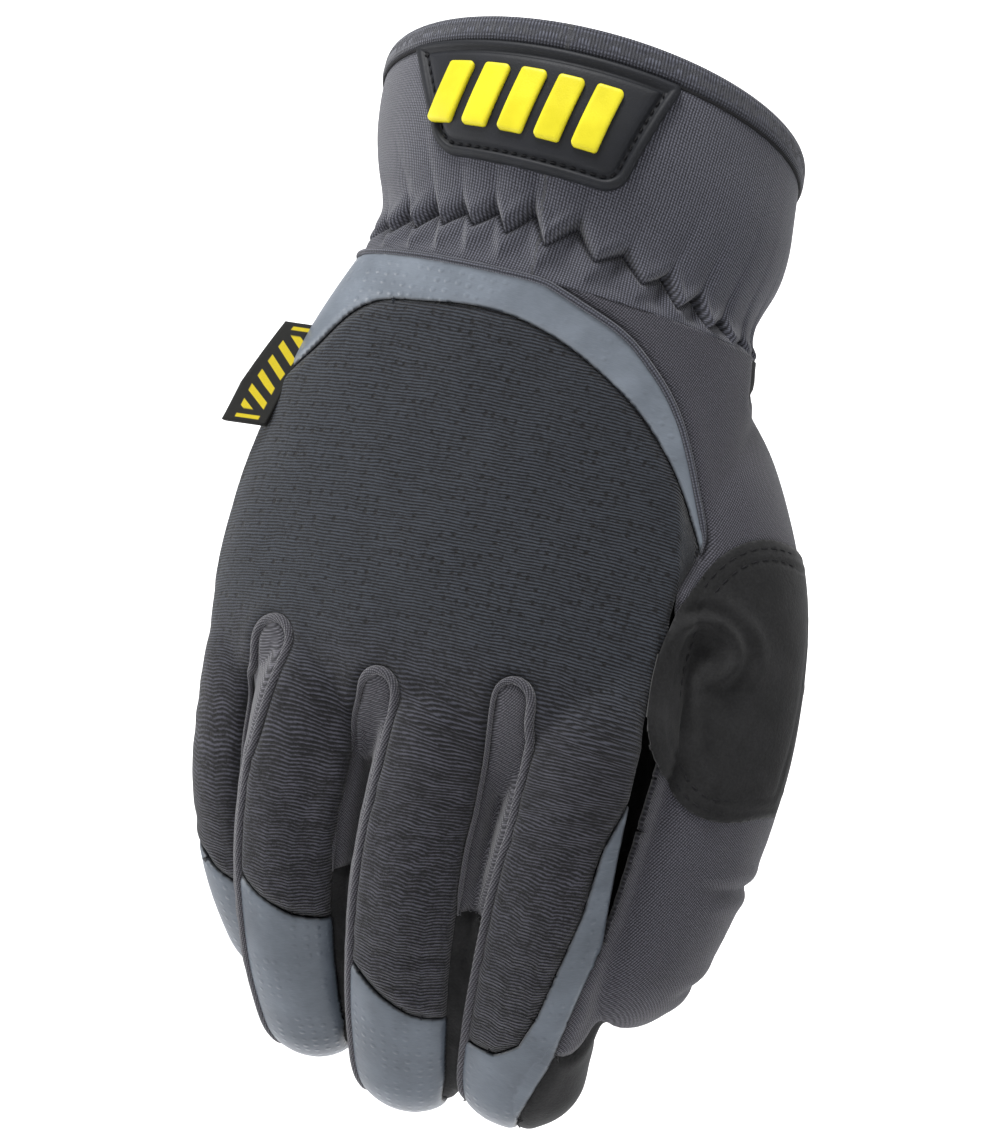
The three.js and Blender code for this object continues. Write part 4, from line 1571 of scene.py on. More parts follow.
@dataclass(frozen=True)
class Rubber:
    """Moulded soft rubber with a fine grain."""

    name: str
    face: Colour
    low: Colour
    roughness: float = 0.58

    def build(self) -> bpy.types.Material:
        """Builds the material.

        Returns:
            The material, with its tree.
        """
        recipe = Recipe(self.name)
        place = recipe.place()
        grain = recipe.noise(place, 2600.0, 2.0)
        cloud = recipe.noise(place, 90.0, 3.0).step(0.3, 0.7)
        recipe.feed("Base Color", recipe.mixed(cloud, self.low, self.face))
        recipe.feed("Roughness", grain * 0.12 + (self.roughness - 0.06))
        recipe.relief(grain, 0.05 * MM)
        recipe.fix(Specular_IOR_Level=0.32)
        return recipe.material


@dataclass(frozen=True)
class TagWeave:
    """Woven ribbon: black ground with a yellow border and slanted yellow bars."""

    name: str
    ground: Colour
    bars: Colour
    length: float
    width: float

    def build(self) -> bpy.types.Material:
        """Builds the material.

        Returns:
            The material, with its tree.
        """
        recipe = Recipe(self.name)
        along, over, _ = recipe.run()
        slant = ((along + over * 0.7) / 3.4).wave().step(0.52, 0.62)
        end = (along / self.length - 0.5).math("ABSOLUTE")
        side = (over / self.width - 0.5).math("ABSOLUTE").fall(0.27, 0.3)
        border = end.step(0.42, 0.43) * end.fall(0.455, 0.465)
        lit = (slant * end.fall(0.36, 0.38) * side + border * side).clamped()
        threads = (along / 0.22).wave() * 0.5 + (over / 0.22).wave() * 0.5
        dull = recipe.mixed(threads, srgb(150, 132, 20), self.bars)
        recipe.feed("Base Color", recipe.mixed(lit, self.ground, dull))
        recipe.relief(threads, 0.05 * MM)
        recipe.fix(Roughness=0.7, Specular_IOR_Level=0.3)
        return recipe.material


@dataclass(frozen=True)
class Plain:
    """A matt surface whose tone drifts a little."""

    name: str
    light: Colour
    dark: Colour
    scale: float

    def build(self) -> bpy.types.Material:
        """Builds the material.

        Returns:
            The material, with its tree.
        """
        recipe = Recipe(self.name)
        drift = recipe.noise(recipe.place(), self.scale, 2.0)
        recipe.feed("Base Color", recipe.mixed(drift, self.dark, self.light))
        recipe.fix(Roughness=0.8, Specular_IOR_Level=0.3)
        return recipe.material


def finishes() -> dict[str, bpy.types.Material]:
    """All the glove's materials, by a short name.

    Returns:
        The built materials.
    """
    # The knits' hollow colours are painted shade between the stitches; their crown colours are the yarns' own
    # greys.
    knit_hollow = srgb(30, 30, 35)
    recipes = {
        "mesh": RibMesh("ribbed_mesh", srgb(67, 67, 77), srgb(7, 7, 11)),
        "knit": Knit("side_knit_cloth", srgb(94, 93, 102), srgb(26, 26, 31), pitch=0.55, twill=0.4),
        "web_knit": Knit("fourchette_cloth", srgb(96, 95, 102), knit_hollow, pitch=0.5, twill=0.3),
        "cuff_knit": Knit("cuff_cloth", srgb(100, 101, 112), knit_hollow, pitch=0.6, twill=0.12),
        "binding": Knit("binding_cloth", srgb(92, 94, 105), knit_hollow, pitch=0.62),
        "vinyl": Vinyl("band_vinyl", srgb(116, 124, 134), srgb(90, 97, 106)),
        # Painted shade: the caps use a darker copy of the band's grey vinyl.
        "cap_vinyl_painted_shade": Vinyl("cap_vinyl_painted_shade", srgb(94, 102, 112), srgb(66, 73, 82)),
        "leather": Leather("napped_leather", srgb(33, 33, 34), srgb(11, 11, 12)),
        "rubber": Rubber("badge_rubber", srgb(22, 24, 30), srgb(15, 17, 22)),
        "yellow": Rubber("yellow_rubber", srgb(226, 214, 40), srgb(208, 196, 28), 0.42),
        "thread": Plain("dark_thread", srgb(26, 26, 29), srgb(12, 12, 14), 2500.0),
    }
    return {name: recipe.build() for name, recipe in recipes.items()}


def crook_folds(points: np.ndarray) -> np.ndarray:
    """How far the rolled folds in the crook of the thumb stand out.

    Args:
        points: the points, one in each row.

    Returns:
        The distances, out of the skin.
    """
    x, z = points[:, 0] - CROOK_X, points[:, 2] - CROOK_Z
    away = np.hypot(x, z)
    angle = np.arctan2(z, x)
    roll = 1.9 * MM * hump(away, 6.5 * MM, 1.3 * MM) * smoothstep(-1.2, 0.3, np.sin(angle + 0.6))
    second = 0.8 * MM * hump(away, 10.5 * MM, 1.5 * MM) * smoothstep(-0.4, 0.7, np.sin(angle + 0.9))
    hollow = -2.2 * MM * hump(away, 0, 3.0 * MM)
    below = smoothstep(0, -6 * MM, z) * smoothstep(-30 * MM, -14 * MM, z)
    pleats = 0.9 * MM * np.cos((x + 0.25 * z) / (1.35 * MM)) * hump(x, 0, 6 * MM) * below
    return (roll + second + hollow + pleats) * (points[:, 1] < 14 * MM)


@dataclass
class HandPanels:
    """The panels of the hand, each a wall of cloth whose edges turn in at its seams.

    The knits' cloth runs by the place itself: wrap holds the shares of X and of Y in its run across.
    """

    skin: Skin
    dress: dict[str, bpy.types.Material]
    valley: float = 0.7 * MM
    valley_width: float = 1.15 * MM
    vinyl_lift: float = 0.45 * MM
    wrap: tuple[float, float] = (0.75, 1.15)

    def relief(self, part: Part, points: np.ndarray, seam: np.ndarray) -> np.ndarray:
        """How far each point of a panel stands out of the skin.

        Args:
            part: the panel.
            points: its points.
            seam: their distance from the nearest seam.

        Returns:
            The distances, out of the skin.
        """
        if part in CAPS or part is Part.WRIST_BAND:
            return self.vinyl_lift * (1 - hump(seam, 0, 0.7 * MM)) - 0.15 * MM
        turned_in = -self.valley * hump(seam, 0, self.valley_width)
        puffed = 0.22 * MM * hump(seam, 3 * MM, 1.8 * MM)
        return turned_in + puffed + self.creases(points)

    def creases(self, points: np.ndarray) -> np.ndarray:
        """Folds where the fingers, the thumb and the palm bend.

        Args:
            points: the points, one in each row.

        Returns:
            How far the cloth stands out at each point.
        """
        here = Places(points)
        lift = np.zeros(len(points))
        nearest = np.stack([local.radius for local in here.fingers]).min(axis=0)
        for finger, local in zip(FINGERS, here.fingers):
            mine = (local.radius <= nearest + 1e-9) & (local.at > 0.1)
            front = smoothstep(0.1, -0.5, local.out / local.deep) * mine
            behind = smoothstep(0.2, 0.8, local.out / local.deep) * mine
            for place, deep in ((0.37, 1.0), (0.6, 0.9), (0.77, 0.6)):
                bent = place + 0.012 * np.sin(local.share * 2.5 + finger.x * 9)
                away = (local.at - bent) * finger.length
                lift -= deep * MM * front * hump(away, 0, 1.5 * MM)
                lift += 0.4 * deep * MM * front * hump(np.abs(away), 4 * MM, 2 * MM)
            for place in (0.34, 0.6):
                away = (local.at - place) * finger.length
                ripple = np.sin(away / (1.1 * MM) + local.share * 1.4 + finger.x * 20)
                lift += 0.16 * MM * behind * ripple * hump(away, 0, 7 * MM)
        thumb = here.thumb
        mine = (thumb.radius < nearest) & (thumb.radius < 1.15)
        away = (thumb.at - 0.66 - 0.02 * np.sin(thumb.share * 2)) * THUMB_DROP
        front = smoothstep(0.1, -0.5, thumb.out / thumb.deep) * mine
        lift -= 0.9 * MM * front * hump(away, 0, 1.6 * MM)
        hand = here.hand
        palm = smoothstep(0, -0.6, hand.out / hand.deep) * (hand.at > 0.05) * (hand.at < 0.95)
        for start, slope, arch in ((0.62, -0.1, 0.1), (0.45, 0.12, 0.16), (0.25, 0.5, 0.1)):
            line = hand.at - start - slope * hand.share - arch * hand.share**2
            lift -= 0.8 * MM * palm * hump(line * HAND_LENGTH, 0, 1.7 * MM)
        slow = np.sin(points[:, 0] * 210 + 1) * np.sin(points[:, 2] * 170) * np.sin(points[:, 1] * 190 + 2)
        ring = here.fingers[1]
        beside = smoothstep(0.5, 0.95, ring.share) * (ring.radius <= nearest + 1e-9) * (ring.at > 0.02)
        lift += 2.0 * MM * beside * hump(points[:, 2], BULGE_Z, 11 * MM)
        return lift + 0.25 * MM * slow + crook_folds(points)

    def build(self) -> None:
        """Makes every panel."""
        for part, node in NODE_OF.items():
            bm = self.skin.panel(part)
            points = np.array([vert.co for vert in bm.verts])
            normals = np.array([vert.normal for vert in bm.verts])
            run = bm.verts.layers.float_vector["weave"]
            seam = np.array([vert[run].z for vert in bm.verts])
            points += normals * self.relief(part, points, seam)[:, None]
            for vert, place in zip(bm.verts, points):
                vert.co = place
                if part in KNITS:
                    wide = self.wrap[0] * place[0] + self.wrap[1] * place[1]
                    vert[run] = Vector((wide, -place[2], vert[run].z))
            look, slot = LOOK_OF[part]
            piece = solidified(mesh_object(f"{node}_cloth", bm))
            settled(piece, self.dress[look], slot, node)


@dataclass
class Welts:
    """Rolled edges along the seams between the fingers and over the wrist band."""

    skin: Skin
    dress: dict[str, bpy.types.Material]
    thick: float = 1.05 * MM
    thin: float = 0.55 * MM
    band: float = 0.75 * MM
    step: float = 0.9 * MM

    def radius(self, line: Line) -> np.ndarray:
        """The bead's radius: thick along a finger's left side and thin along its right.

        Args:
            line: the bead's line.

        Returns:
            The radius at each point.
        """
        share = Places(line.points).nearest()[1]
        size = np.where(share > 0, self.thin, self.thick)
        weights = np.hanning(13) / np.hanning(13).sum()
        size = np.convolve(np.pad(size, 6, mode="edge"), weights, mode="valid")
        return size * tapered(len(size), 0.35, 0.04)

    def build(self) -> None:
        """Makes a welt for each gap between fingers, and the one over the band."""
        tops = {int(Part.BACK_PANEL), *map(int, CAPS)}
        for web in WEBS:
            lines = seam_lines(
                self.skin.cut, lambda pair, w=int(web): w in pair and bool(pair & tops), 30 * MM
            )
            for number, line in enumerate(lines, start=1):
                bead = line.paced(self.step).softened(3).moved(out=-0.1 * MM)
                name = f"{web.name.lower()}_welt_{number}"
                piece = mesh_object(name, tube(bead, self.radius(bead)))
                settled(piece, self.dress["web_knit"], "grey_knit")
        band, side, rim = int(Part.WRIST_BAND), int(Part.SIDE_KNIT), int(Part.NONE)
        lines = seam_lines(self.skin.cut, lambda pair: band in pair and bool(pair & {side, rim}), 20 * MM)
        for number, line in enumerate(lines, start=1):
            bead = line.paced(self.step).softened(4).moved(out=0.15 * MM)
            size = self.band * tapered(len(bead.points), 0.3, 0.06)
            piece = mesh_object(f"band_welt_{number}", tube(bead, size))
            settled(piece, self.dress["binding"], "grey_knit")


@dataclass
class Cuff:
    """The gathered knit cuff, with its bound edge."""

    dress: dict[str, bpy.types.Material]
    folds: int = 28
    line: float = 0.775
    dip: float = 0.13
    right_dip: float = 0.09
    columns: int = 648
    rows: int = 120
    hem: float = 4.8 * MM
    proud: float = 0.7 * MM
    stretch: float = 1 + (CUFF_DEPTH / 2 / CUFF_LENGTH) * math.sin(math.radians(17))
    girth: float = math.pi * (CUFF_WIDTH + CUFF_DEPTH) / 2

    def stations(self, at: np.ndarray) -> dict[str, np.ndarray]:
        """Middle points, directions and half sizes of the cuff's sections.

        Args:
            at: shares of the cuff's length.

        Returns:
            Each of them as an array, by name.
        """
        low = np.clip(at, 0, 1)
        value = {name: rounded(CUFF_ROWS, name, low, 0.07) for name in CUFF_ROWS if name != "at"}
        turns = [spin(x=-nod, y=tilt) for nod, tilt in zip(value["nod"], value["tilt"])]
        middle = np.stack([value["x"] * CUFF_WIDTH, 0 * at, -at * CUFF_LENGTH], axis=1)
        return {
            "middle": middle,
            "across": np.array([turn @ ACROSS for turn in turns]),
            "out": np.array([turn @ BACK for turn in turns]),
            "width": value["width"] * CUFF_WIDTH / 2,
            "depth": value["depth"] * CUFF_DEPTH / 2,
        }

    def on_back(self, across: np.ndarray, below: np.ndarray, lift: np.ndarray) -> np.ndarray:
        """Points over the cuff's back: so far across, below the opening and out of it.

        Args:
            across: metres across.
            below: metres below the opening.
            lift: metres out of the cuff.

        Returns:
            The points.
        """
        s = self.stations(below / (CUFF_LENGTH * self.stretch))
        share = np.clip(across / s["width"], -0.98, 0.98)
        out = s["depth"] * np.sqrt(1 - share**2)
        normal_x, normal_out = share / s["width"], np.sqrt(1 - share**2) / s["depth"]
        size = np.hypot(normal_x, normal_out)
        x, y = across + lift * normal_x / size, out + lift * normal_out / size
        return s["middle"] + x[:, None] * s["across"] + y[:, None] * s["out"]

    def around(self, angle: np.ndarray, at: np.ndarray, push: np.ndarray) -> np.ndarray:
        """Points round the cuff, at shares of its length, pushed out by so much.

        Args:
            angle: places round the cuff, from the middle of its back.
            at: places down it.
            push: metres out of the section.

        Returns:
            The points.
        """
        levels, back = np.unique(np.round(at, 6), return_inverse=True)
        s = {name: rows[back] for name, rows in self.stations(levels).items()}
        x = (s["width"] + push) * np.sin(angle)
        y = (s["depth"] + push) * np.cos(angle)
        return s["middle"] + x[:, None] * s["across"] + y[:, None] * s["out"]

    def folded(self, angle: np.ndarray, at: np.ndarray) -> tuple[np.ndarray, np.ndarray]:
        """The gathers round the cuff and down it.

        Args:
            angle: places round the cuff, from the middle of its back.
            at: places down it.

        Returns:
            How far the cloth stands out, and how deep in a tuck it lies, from 0 to 1.
        """
        across = np.sin(angle)
        line = self.line + self.dip * across**2 + self.right_dip * np.clip(across, 0, 1) ** 4
        below = (at - line) * CUFF_LENGTH
        lean = 0.07 * below / MM * np.sin(2 * angle + 0.5) / 2
        count = self.folds * angle / (2 * math.pi) + lean
        count += 0.22 * np.sin(3 * angle + 1) + 0.12 * np.sin(5 * angle + 2)
        phase, skew = count - np.floor(count), 0.42 + 0.16 * np.sin(3 * angle + 0.4)
        crest = np.where(phase < skew, phase / skew, (1 - phase) / (1 - skew))
        size = 0.85 + 0.2 * np.sin(2 * angle + 0.6) + 0.25 * np.sin(7 * angle + 1.3)
        below = below - (crest - 0.55) * 4.6 * MM * size
        above, under = below <= 0, below > 0
        long_ones = 0.5 + 0.5 * np.sin(4 * angle + 2.4)
        high = np.exp(-np.abs(below) / (4 * MM)) + 0.3 * long_ones * np.exp(-np.abs(below) / (11 * MM))
        low = np.exp(-np.abs(below) / (6 * MM)) + 0.5 * (1 - long_ones) * np.exp(-np.abs(below) / (12 * MM))
        valley = (1 - crest) ** 1.3
        tuck = valley * (0.8 * high * above + 0.9 * low * under)
        lift = -2.5 * MM * size * tuck
        lift += 1.5 * MM * size * (0.35 + 0.65 * crest) * hump(below, -1.9 * MM, 2.1 * MM)
        crease = hump(below, 0.25 * MM, 0.7 * MM)
        lift -= 1.5 * MM * crease
        lift += 0.7 * MM * crest * hump(below, 3.2 * MM, 2.0 * MM)
        fade = smoothstep(1.0, 0.93, at)
        return lift * fade, np.clip(tuck + 0.8 * crease, 0, 1) * fade

    def cloth(self, u: np.ndarray, v: np.ndarray) -> np.ndarray:
        """The cuff's outer face, with its cloth run.

        Args:
            u: shares of the way round.
            v: shares of the way down.

        Returns:
            The points, with the run in three more columns.
        """
        start = (self.hem - 0.8 * MM) / CUFF_LENGTH
        at = start + (1 - start) * v
        angle = 2 * math.pi * u
        waves = 0.5 * MM * np.sin(3 * angle + 0.7 + at * 3) * np.sin(math.pi * at)
        lift, tuck = self.folded(angle, at)
        points = self.around(angle, at, lift + waves)
        # Painted shade: the seam channel here carries how deep each point lies in a tuck, so the cuff knit
        # darkens in the gathers' valleys and creases.
        seam = 6 * MM * (1 - tuck) ** 2
        run = np.stack([u * self.girth, at * CUFF_LENGTH * self.stretch, seam], axis=1)
        return np.hstack([points, run])

    def binding(self, u: np.ndarray, v: np.ndarray) -> np.ndarray:
        """The folded strip over the rim: a flat rounded section, all the way round.

        Args:
            u: shares of the way round.
            v: shares of the way round the section.

        Returns:
            The points, with the run in three more columns.
        """
        turn = 2 * math.pi * v
        s, c = np.sin(turn), np.cos(turn)
        middle, half = (self.proud - WALL) / 2, (self.proud + WALL) / 2 + 0.15 * MM
        push = middle + half * np.sign(c) * np.abs(c) ** 0.75
        at = (self.hem / 2) * (1 - np.sign(s) * np.abs(s) ** 0.55) / CUFF_LENGTH
        angle = 2 * math.pi * u
        points = self.around(angle, at, push)
        # Painted shade: the seam channel here is the distance from the binding's lower edge, so the binding
        # darkens where it meets the cuff.
        edge = np.clip(self.hem - at * CUFF_LENGTH, 0, None)
        run = np.stack([u * self.girth, v * 2.2 * self.hem, edge], axis=1)
        return np.hstack([points, run])

    def build(self) -> None:
        """Makes the cuff, its binding and the seam under it."""
        cloth = grid(self.columns, self.rows, self.cloth)
        bmesh.ops.recalc_face_normals(cloth, faces=cloth.faces)
        piece = solidified(mesh_object("cuff_cloth", cloth))
        settled(piece, self.dress["cuff_knit"], "grey_knit", "cuff")
        strip = grid(300, 28, self.binding)
        bmesh.ops.recalc_face_normals(strip, faces=strip.faces)
        piece = mesh_object("cuff_binding", strip)
        settled(piece, self.dress["binding"], "knit_binding", "cuff_hem")
        angle = np.linspace(0, 2 * math.pi, 261)
        at = np.full_like(angle, (self.hem + 0.15 * MM) / CUFF_LENGTH)
        seam = Line(self.around(angle, at, np.full_like(angle, 0.05 * MM)), self.outward(angle))
        piece = mesh_object("cuff_seam_cord", tube(seam, 0.35 * MM, sides=8))
        settled(piece, self.dress["thread"], "knit_binding")

    def outward(self, angle: np.ndarray) -> np.ndarray:
        """The way out of the cuff at angles round it."""
        way = np.stack([np.sin(angle) / CUFF_WIDTH, -np.cos(angle) / CUFF_DEPTH, 0 * angle], axis=1)
        return way * CUFF_WIDTH


@dataclass
class Badge:
    """The moulded badge on the cuff's back, its stitches and the plain bars of its mark."""

    cuff: Cuff
    dress: dict[str, bpy.types.Material]
    width: float = 60 * MM
    foot: float = 41 * MM
    height: float = 24.5 * MM
    corner: float = 6.5 * MM
    shift: float = -4.5 * MM
    mark_width: float = 38 * MM
    mark_height: float = 13 * MM
    lean: float = 4 * MM
    gap: float = 2.4 * MM
    drop: float = 5.5 * MM
    bars: int = 5
    border: tuple[tuple[float, float], ...] = (
        (0.0, 0.3), (0.0, 0.9), (0.15, 1.5), (0.6, 1.95), (1.2, 1.95), (1.7, 1.6),
        (1.95, 1.05), (2.7, 1.0), (2.95, 1.5), (3.3, 1.85), (4.0, 2.0), (5.2, 2.0),
    )

    @property
    def top(self) -> float:
        """How far the badge's upper edge lies below the opening."""
        return self.cuff.hem * self.cuff.stretch + 0.4 * MM

    def rounded_loop(
        self, corners: np.ndarray, radii: Sequence[float], inset: float, arc: int = 9, side: int = 14
    ) -> np.ndarray:
        """An outline with round corners, moved inwards.

        Args:
            corners: the corners across and down, in order.
            radii: each corner's radius.
            inset: how far the outline moves in.
            arc: points on each corner.
            side: points on each side.

        Returns:
            The outline's points.
        """
        count = len(corners)
        ahead = np.roll(corners, -1, axis=0) - corners
        ahead /= np.linalg.norm(ahead, axis=1)[:, None]
        inward = np.stack([-ahead[:, 1], ahead[:, 0]], axis=1)
        if ((corners.mean(axis=0) - corners) * inward).sum() < 0:
            inward = -inward
        arcs = []
        for i in range(count):
            before, after = inward[i - 1], inward[i]
            radius = max(radii[i], inset + 0.3 * MM)
            centre = corners[i] + np.linalg.solve(np.stack([before, after]), np.array([radius, radius]))
            t = np.linspace(0, 1, arc)[:, None]
            way = before * (1 - t) + after * t
            way /= np.linalg.norm(way, axis=1)[:, None]
            arcs.append(centre - way * (radius - inset))
        points = []
        for i in range(count):
            start, end = arcs[i][-1], arcs[(i + 1) % count][0]
            t = np.linspace(0, 1, side + 2)[1:-1, None]
            points += [arcs[i], start * (1 - t) + end * t]
        return np.vstack(points)

    def slab(
        self, name: str, corners: np.ndarray, radii: Sequence[float], profile: Sequence[tuple[float, float]]
    ) -> bpy.types.Object:
        """A moulded plate over the cuff with the profile of its edge, in millimetres in and up.

        Args:
            name: the piece's name.
            corners: its corners across and down.
            radii: each corner's radius.
            profile: pairs of how far in and how far up the edge goes.

        Returns:
            The plate.
        """
        outlines = [(self.rounded_loop(corners, radii, inset * MM), up * MM) for inset, up in profile]
        last, height = outlines[-1]
        middle = last.mean(axis=0)
        for share in (0.82, 0.62, 0.42, 0.24, 0.08):
            outlines.append((middle + (last - middle) * share, height))
        base = outlines[0][0]
        low = profile[0][1] * MM
        floor = [(middle + (base - middle) * share, low) for share in (0.08, 0.35, 0.65, 0.9)]
        rings = [self.placed(points, lift) for points, lift in floor + outlines]
        return mesh_object(name, loft(rings))

    def placed(self, points: np.ndarray, lift: float) -> np.ndarray:
        """Points given across and down the badge, on the cuff.

        Args:
            points: the points, across and down.
            lift: metres out of the cuff.

        Returns:
            The points.
        """
        return self.cuff.on_back(
            self.shift + points[:, 0], self.top + points[:, 1], np.full(len(points), lift)
        )

    def plate_corners(self) -> np.ndarray:
        """The badge's four corners, across and down."""
        wide, narrow = self.width / 2, self.foot / 2
        return np.array([(-wide, 0), (wide, 0), (narrow, self.height), (-narrow, self.height)])

    def build(self) -> None:
        """Makes the plate, its stitches and the bars."""
        corners = self.plate_corners()
        radii = (1.2 * MM, 1.2 * MM, self.corner, self.corner)
        plate = self.slab("badge_plate", corners, radii, self.border)
        settled(plate, self.dress["rubber"], "black_rubber", "cuff_badge")
        groove = self.rounded_loop(corners, radii, 2.35 * MM, arc=12, side=40)
        groove = np.vstack([groove, groove[:1]])
        sewn = groove[groove[:, 1] > 2.4 * MM]
        points = self.placed(sewn, 1.12 * MM)
        normals = self.placed(sewn, 2.12 * MM) - points
        piece = mesh_object("badge_stitches", stitched([Line(points, normals)], 2.2 * MM, 0.26 * MM))
        settled(piece, self.dress["thread"], "black_rubber")
        pitch = (self.mark_width + self.gap) / self.bars
        for number in range(self.bars):
            left = number * pitch - self.mark_width / 2
            right = left + pitch - self.gap
            foot = self.drop + self.mark_height
            ends = np.array(
                [(left, self.drop), (right, self.drop), (right - self.lean, foot), (left - self.lean, foot)]
            )
            profile = ((0.0, 1.8), (0.0, 2.6), (0.12, 2.85), (0.4, 3.0), (0.9, 3.02))
            piece = self.slab(f"badge_bar_{number + 1}", ends, [0.9 * MM] * 4, profile)
            settled(piece, self.dress["yellow"], "yellow_print", f"mark_bar_{number + 1}")


@dataclass
class Tag:
    """The woven tag folded into the little finger's side seam."""

    length: float = 23 * MM
    reach: float = 6.4 * MM
    tuck: float = 3.0 * MM
    below: float = 11.5 * MM
    depth: float = -2.2 * MM
    gap: float = 0.9 * MM

    def cloth(self, u: np.ndarray, v: np.ndarray) -> np.ndarray:
        """The folded ribbon: along the seam by u, and out, round the fold and back by v.

        Args:
            u: shares of its length.
            v: shares of its strip.

        Returns:
            The points, with the run in three more columns.
        """
        at = (self.below + u * self.length) / HAND_LENGTH
        s = hand_stations(at)
        edge = s.middle - s.width[:, None] * s.across
        turn = np.clip((v - 0.42) / 0.16, 0, 1) * math.pi
        straight = np.where(v < 0.42, v / 0.42, np.where(v > 0.58, (1 - v) / 0.42, 1.0))
        out = -self.tuck + (self.tuck + self.reach) * straight + self.gap / 2 * np.sin(turn)
        side = self.gap / 2 * np.cos(turn) + 0.35 * MM * np.sin(u * 5) * straight
        points = np.stack([edge[:, 0] - out, np.full_like(u, self.depth) - side, s.middle[:, 2]], axis=1)
        run = np.stack([u * self.length, np.abs(out + self.tuck), np.full_like(u, 5 * MM)], axis=1)
        return np.hstack([points, run])

    def build(self) -> None:
        """Makes the tag."""
        bm = grid(46, 40, self.cloth, wraps=False)
        bmesh.ops.recalc_face_normals(bm, faces=bm.faces)
        piece = solidified(mesh_object("side_tag_ribbon", bm), 0.3 * MM)
        width = (self.reach + self.tuck) / MM
        weave = TagWeave("tag_weave", srgb(20, 20, 18), srgb(236, 214, 30), self.length / MM, width)
        settled(piece, weave.build(), "woven_tag", "side_tag")


@dataclass
class ThumbPatch:
    """The leather patch over the fork of the thumb, with its two rows of stitches."""

    skin: Skin
    dress: dict[str, bpy.types.Material]
    width: float = 34 * MM
    length: float = 60 * MM
    x: float = 56 * MM
    below: float = 71 * MM
    tilt: float = 7.0
    deep: float = 20 * MM
    lift: float = 1.25 * MM
    reach: float = 60 * MM
    insets: tuple[float, float] = (1.9 * MM, 4.4 * MM)
    sewn_depth: float = 7 * MM

    def inside(self, points: np.ndarray, inset: float = 0.0) -> np.ndarray:
        """Whether points lie within the patch's outline, 1 or 0.

        Args:
            points: the points, one in each row.
            inset: how far inside the outline the line is drawn.

        Returns:
            1 for each point that does, or else 0.
        """
        x, z = points[:, 0] - self.x, points[:, 2] + CUFF_LENGTH + self.below
        c, s = math.cos(math.radians(self.tilt)), math.sin(math.radians(self.tilt))
        across, along = c * x - s * z, s * x + c * z
        size = np.hypot(across / (self.width / 2 - inset), along / (self.length / 2 - inset))
        return ((size < 1) & (points[:, 1] < self.deep)).astype(int)

    def build(self) -> None:
        """Makes the patch and its stitches."""
        bm = self.skin.base.copy()
        middle = Vector((self.x, 0, -CUFF_LENGTH - self.below))
        far = [vert for vert in bm.verts if (vert.co - middle).length > self.reach]
        bmesh.ops.delete(bm, geom=far, context="VERTS")
        cut_apart(bm, self.inside)
        bmesh.ops.delete(bm, geom=[face for face in bm.faces if not face.material_index], context="FACES")
        drop_crumbs(bm)
        bm.normal_update()
        tree = tree_of([vert for vert in bm.verts if vert.is_boundary])
        rows = []
        for inset in self.insets:
            marked = bm.copy()
            cut_apart(marked, lambda points, i=inset: self.inside(points, i))
            marked.normal_update()
            found = seam_lines(marked, lambda pair: pair == {0, 1}, 40 * MM)
            found = [line for line in found if not self.on_rim(line, tree)]
            found = [line.within(line.points[:, 1] < self.sewn_depth) for line in found]
            rows += [line.moved(out=self.lift - 0.14 * MM) for line in found if len(line.points) > 9]
            marked.free()
        run = bm.verts.layers.float_vector.new("weave")
        moves = {}
        for vert in bm.verts:
            away = tree.find(vert.co)[2]
            rise = self.lift * (0.5 + 0.5 * (1 - hump(away, 0, 0.8 * MM)))
            groove = 0.25 * MM * sum(hump(away, inset, 0.5 * MM) for inset in self.insets)
            fold = float(crook_folds(np.array([vert.co]))[0])
            moves[vert] = vert.co + vert.normal * float(rise - groove + fold)
            vert[run] = Vector((vert.co.x, vert.co.z, away))
        for vert, place in moves.items():
            vert.co = place
        piece = solidified(mesh_object("thumb_patch_leather", bm), 1.0 * MM)
        settled(piece, self.dress["leather"], "black_leather", "thumb_patch")
        if rows:
            piece = mesh_object("thumb_patch_stitches", stitched(rows, 2.6 * MM, 0.22 * MM))
            settled(piece, self.dress["thread"], "black_leather")

    def on_rim(self, line: Line, tree: KDTree) -> bool:
        """Whether a line is the patch's own edge."""
        return float(np.mean([tree.find(point)[2] for point in line.points])) < 0.8 * MM


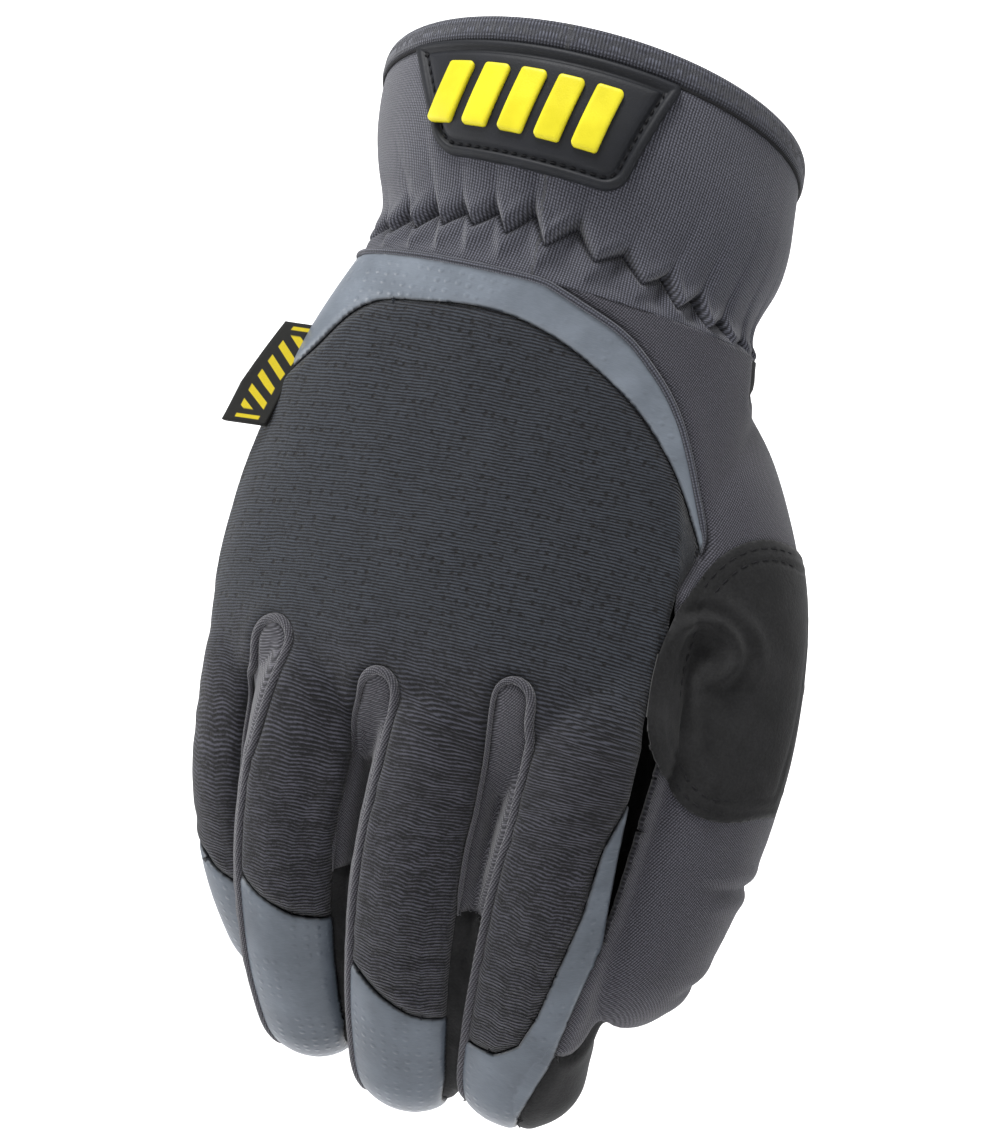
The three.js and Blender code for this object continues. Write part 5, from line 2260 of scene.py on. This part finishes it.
@dataclass
class Studio:
    """A camera at the photograph's angle, a pale floor that runs up behind the glove, and soft lights."""

    place: tuple[float, float, float] = (0.29146, -1.01643, -0.3032)
    target: tuple[float, float, float] = (0.00033, 0.0, -0.09974)
    roll: float = 12.0
    lens: float = 163.57
    floor: float = -0.62
    backdrop: float = 2.4

    def camera(self) -> None:
        """Makes the camera and makes it the scene's."""
        data = bpy.data.cameras.new("camera")
        data.lens = self.lens
        data.sensor_width = 36
        camera = bpy.data.objects.new("camera", data)
        bpy.context.scene.collection.objects.link(camera)
        place, target = Vector(self.place), Vector(self.target)
        turned = (target - place).to_track_quat("-Z", "Y").to_matrix()
        camera.matrix_world = Matrix.Translation(place) @ (
            turned @ Matrix.Rotation(math.radians(self.roll), 3, "Z")
        ).to_4x4()
        bpy.context.scene.camera = camera

    def lamp(
        self, name: str, place: Sequence[float], aim: Sequence[float], size: float, power: float
    ) -> None:
        """A square soft light.

        Args:
            name: the lamp's name.
            place: where it stands.
            aim: what it shines at.
            size: its side, in metres.
            power: its power, in watts.
        """
        data = bpy.data.lights.new(name, "AREA")
        data.size, data.energy = size, power
        lamp = bpy.data.objects.new(name, data)
        bpy.context.scene.collection.objects.link(lamp)
        way = Vector(aim) - Vector(place)
        lamp.matrix_world = Matrix.Translation(place) @ way.to_track_quat("-Z", "Y").to_matrix().to_4x4()

    def backdrop_sheet(self) -> None:
        """Makes the floor, which curves up into a wall."""
        bm = bmesh.new()
        bend = [
            (self.backdrop - 0.6 + 0.6 * math.sin(a), self.floor + 0.6 - 0.6 * math.cos(a))
            for a in np.linspace(0, math.pi / 2, 17)
        ]
        outline = [(-3.2, self.floor), *bend, (self.backdrop, 2.6)]
        verts = [bm.verts.new((-3.5, y, z)) for y, z in outline]
        edges = [bm.edges.new(pair) for pair in zip(verts, verts[1:])]
        made = bmesh.ops.extrude_edge_only(bm, edges=edges)["geom"]
        moved = [item for item in made if isinstance(item, bmesh.types.BMVert)]
        bmesh.ops.translate(bm, verts=moved, vec=(7.0, 0, 0))
        bmesh.ops.recalc_face_normals(bm, faces=bm.faces)
        sheet = mesh_object("studio_floor", bm)
        white = Plain("studio_white", srgb(248, 248, 249), srgb(245, 245, 246), 3.0)
        sheet.data.materials.append(white.build())

    def lights(self) -> None:
        """Makes the world's light and the lamps."""
        world = bpy.data.worlds.new("soft_white")
        world.use_nodes = True
        ground = world.node_tree.nodes["Background"]
        ground.inputs["Color"].default_value = (1.0, 1.0, 1.0, 1.0)
        ground.inputs["Strength"].default_value = 0.55
        bpy.context.scene.world = world
        bpy.context.scene.view_settings.view_transform = "Standard"
        middle = (0.0, 0.0, -0.1)
        self.lamp("key", (-0.35, -0.85, 1.15), middle, 0.5, 26.0)
        self.lamp("rim", (-0.95, -0.15, -0.2), middle, 0.5, 4.5)
        self.lamp("fill", (1.0, -0.6, 0.1), middle, 1.0, 1.0)
        self.lamp("wall", (0.0, 0.5, 0.9), (0.0, 2.4, 0.6), 1.4, 60.0)

    def build(self) -> None:
        """Makes the floor and the lights."""
        self.backdrop_sheet()
        self.lights()


def main() -> None:
    """Builds the glove's sub-assemblies in order."""
    logging.basicConfig(level=logging.INFO, format="%(name)s: %(message)s")
    studio = Studio()
    studio.camera()
    dress = finishes()
    skin = Skin()
    HandPanels(skin, dress).build()
    Welts(skin, dress).build()
    cuff = Cuff(dress)
    cuff.build()
    Badge(cuff, dress).build()
    Tag().build()
    ThumbPatch(skin, dress).build()
    studio.build()
    skin.base.free()
    skin.cut.free()


if __name__ == "__main__":
    main()
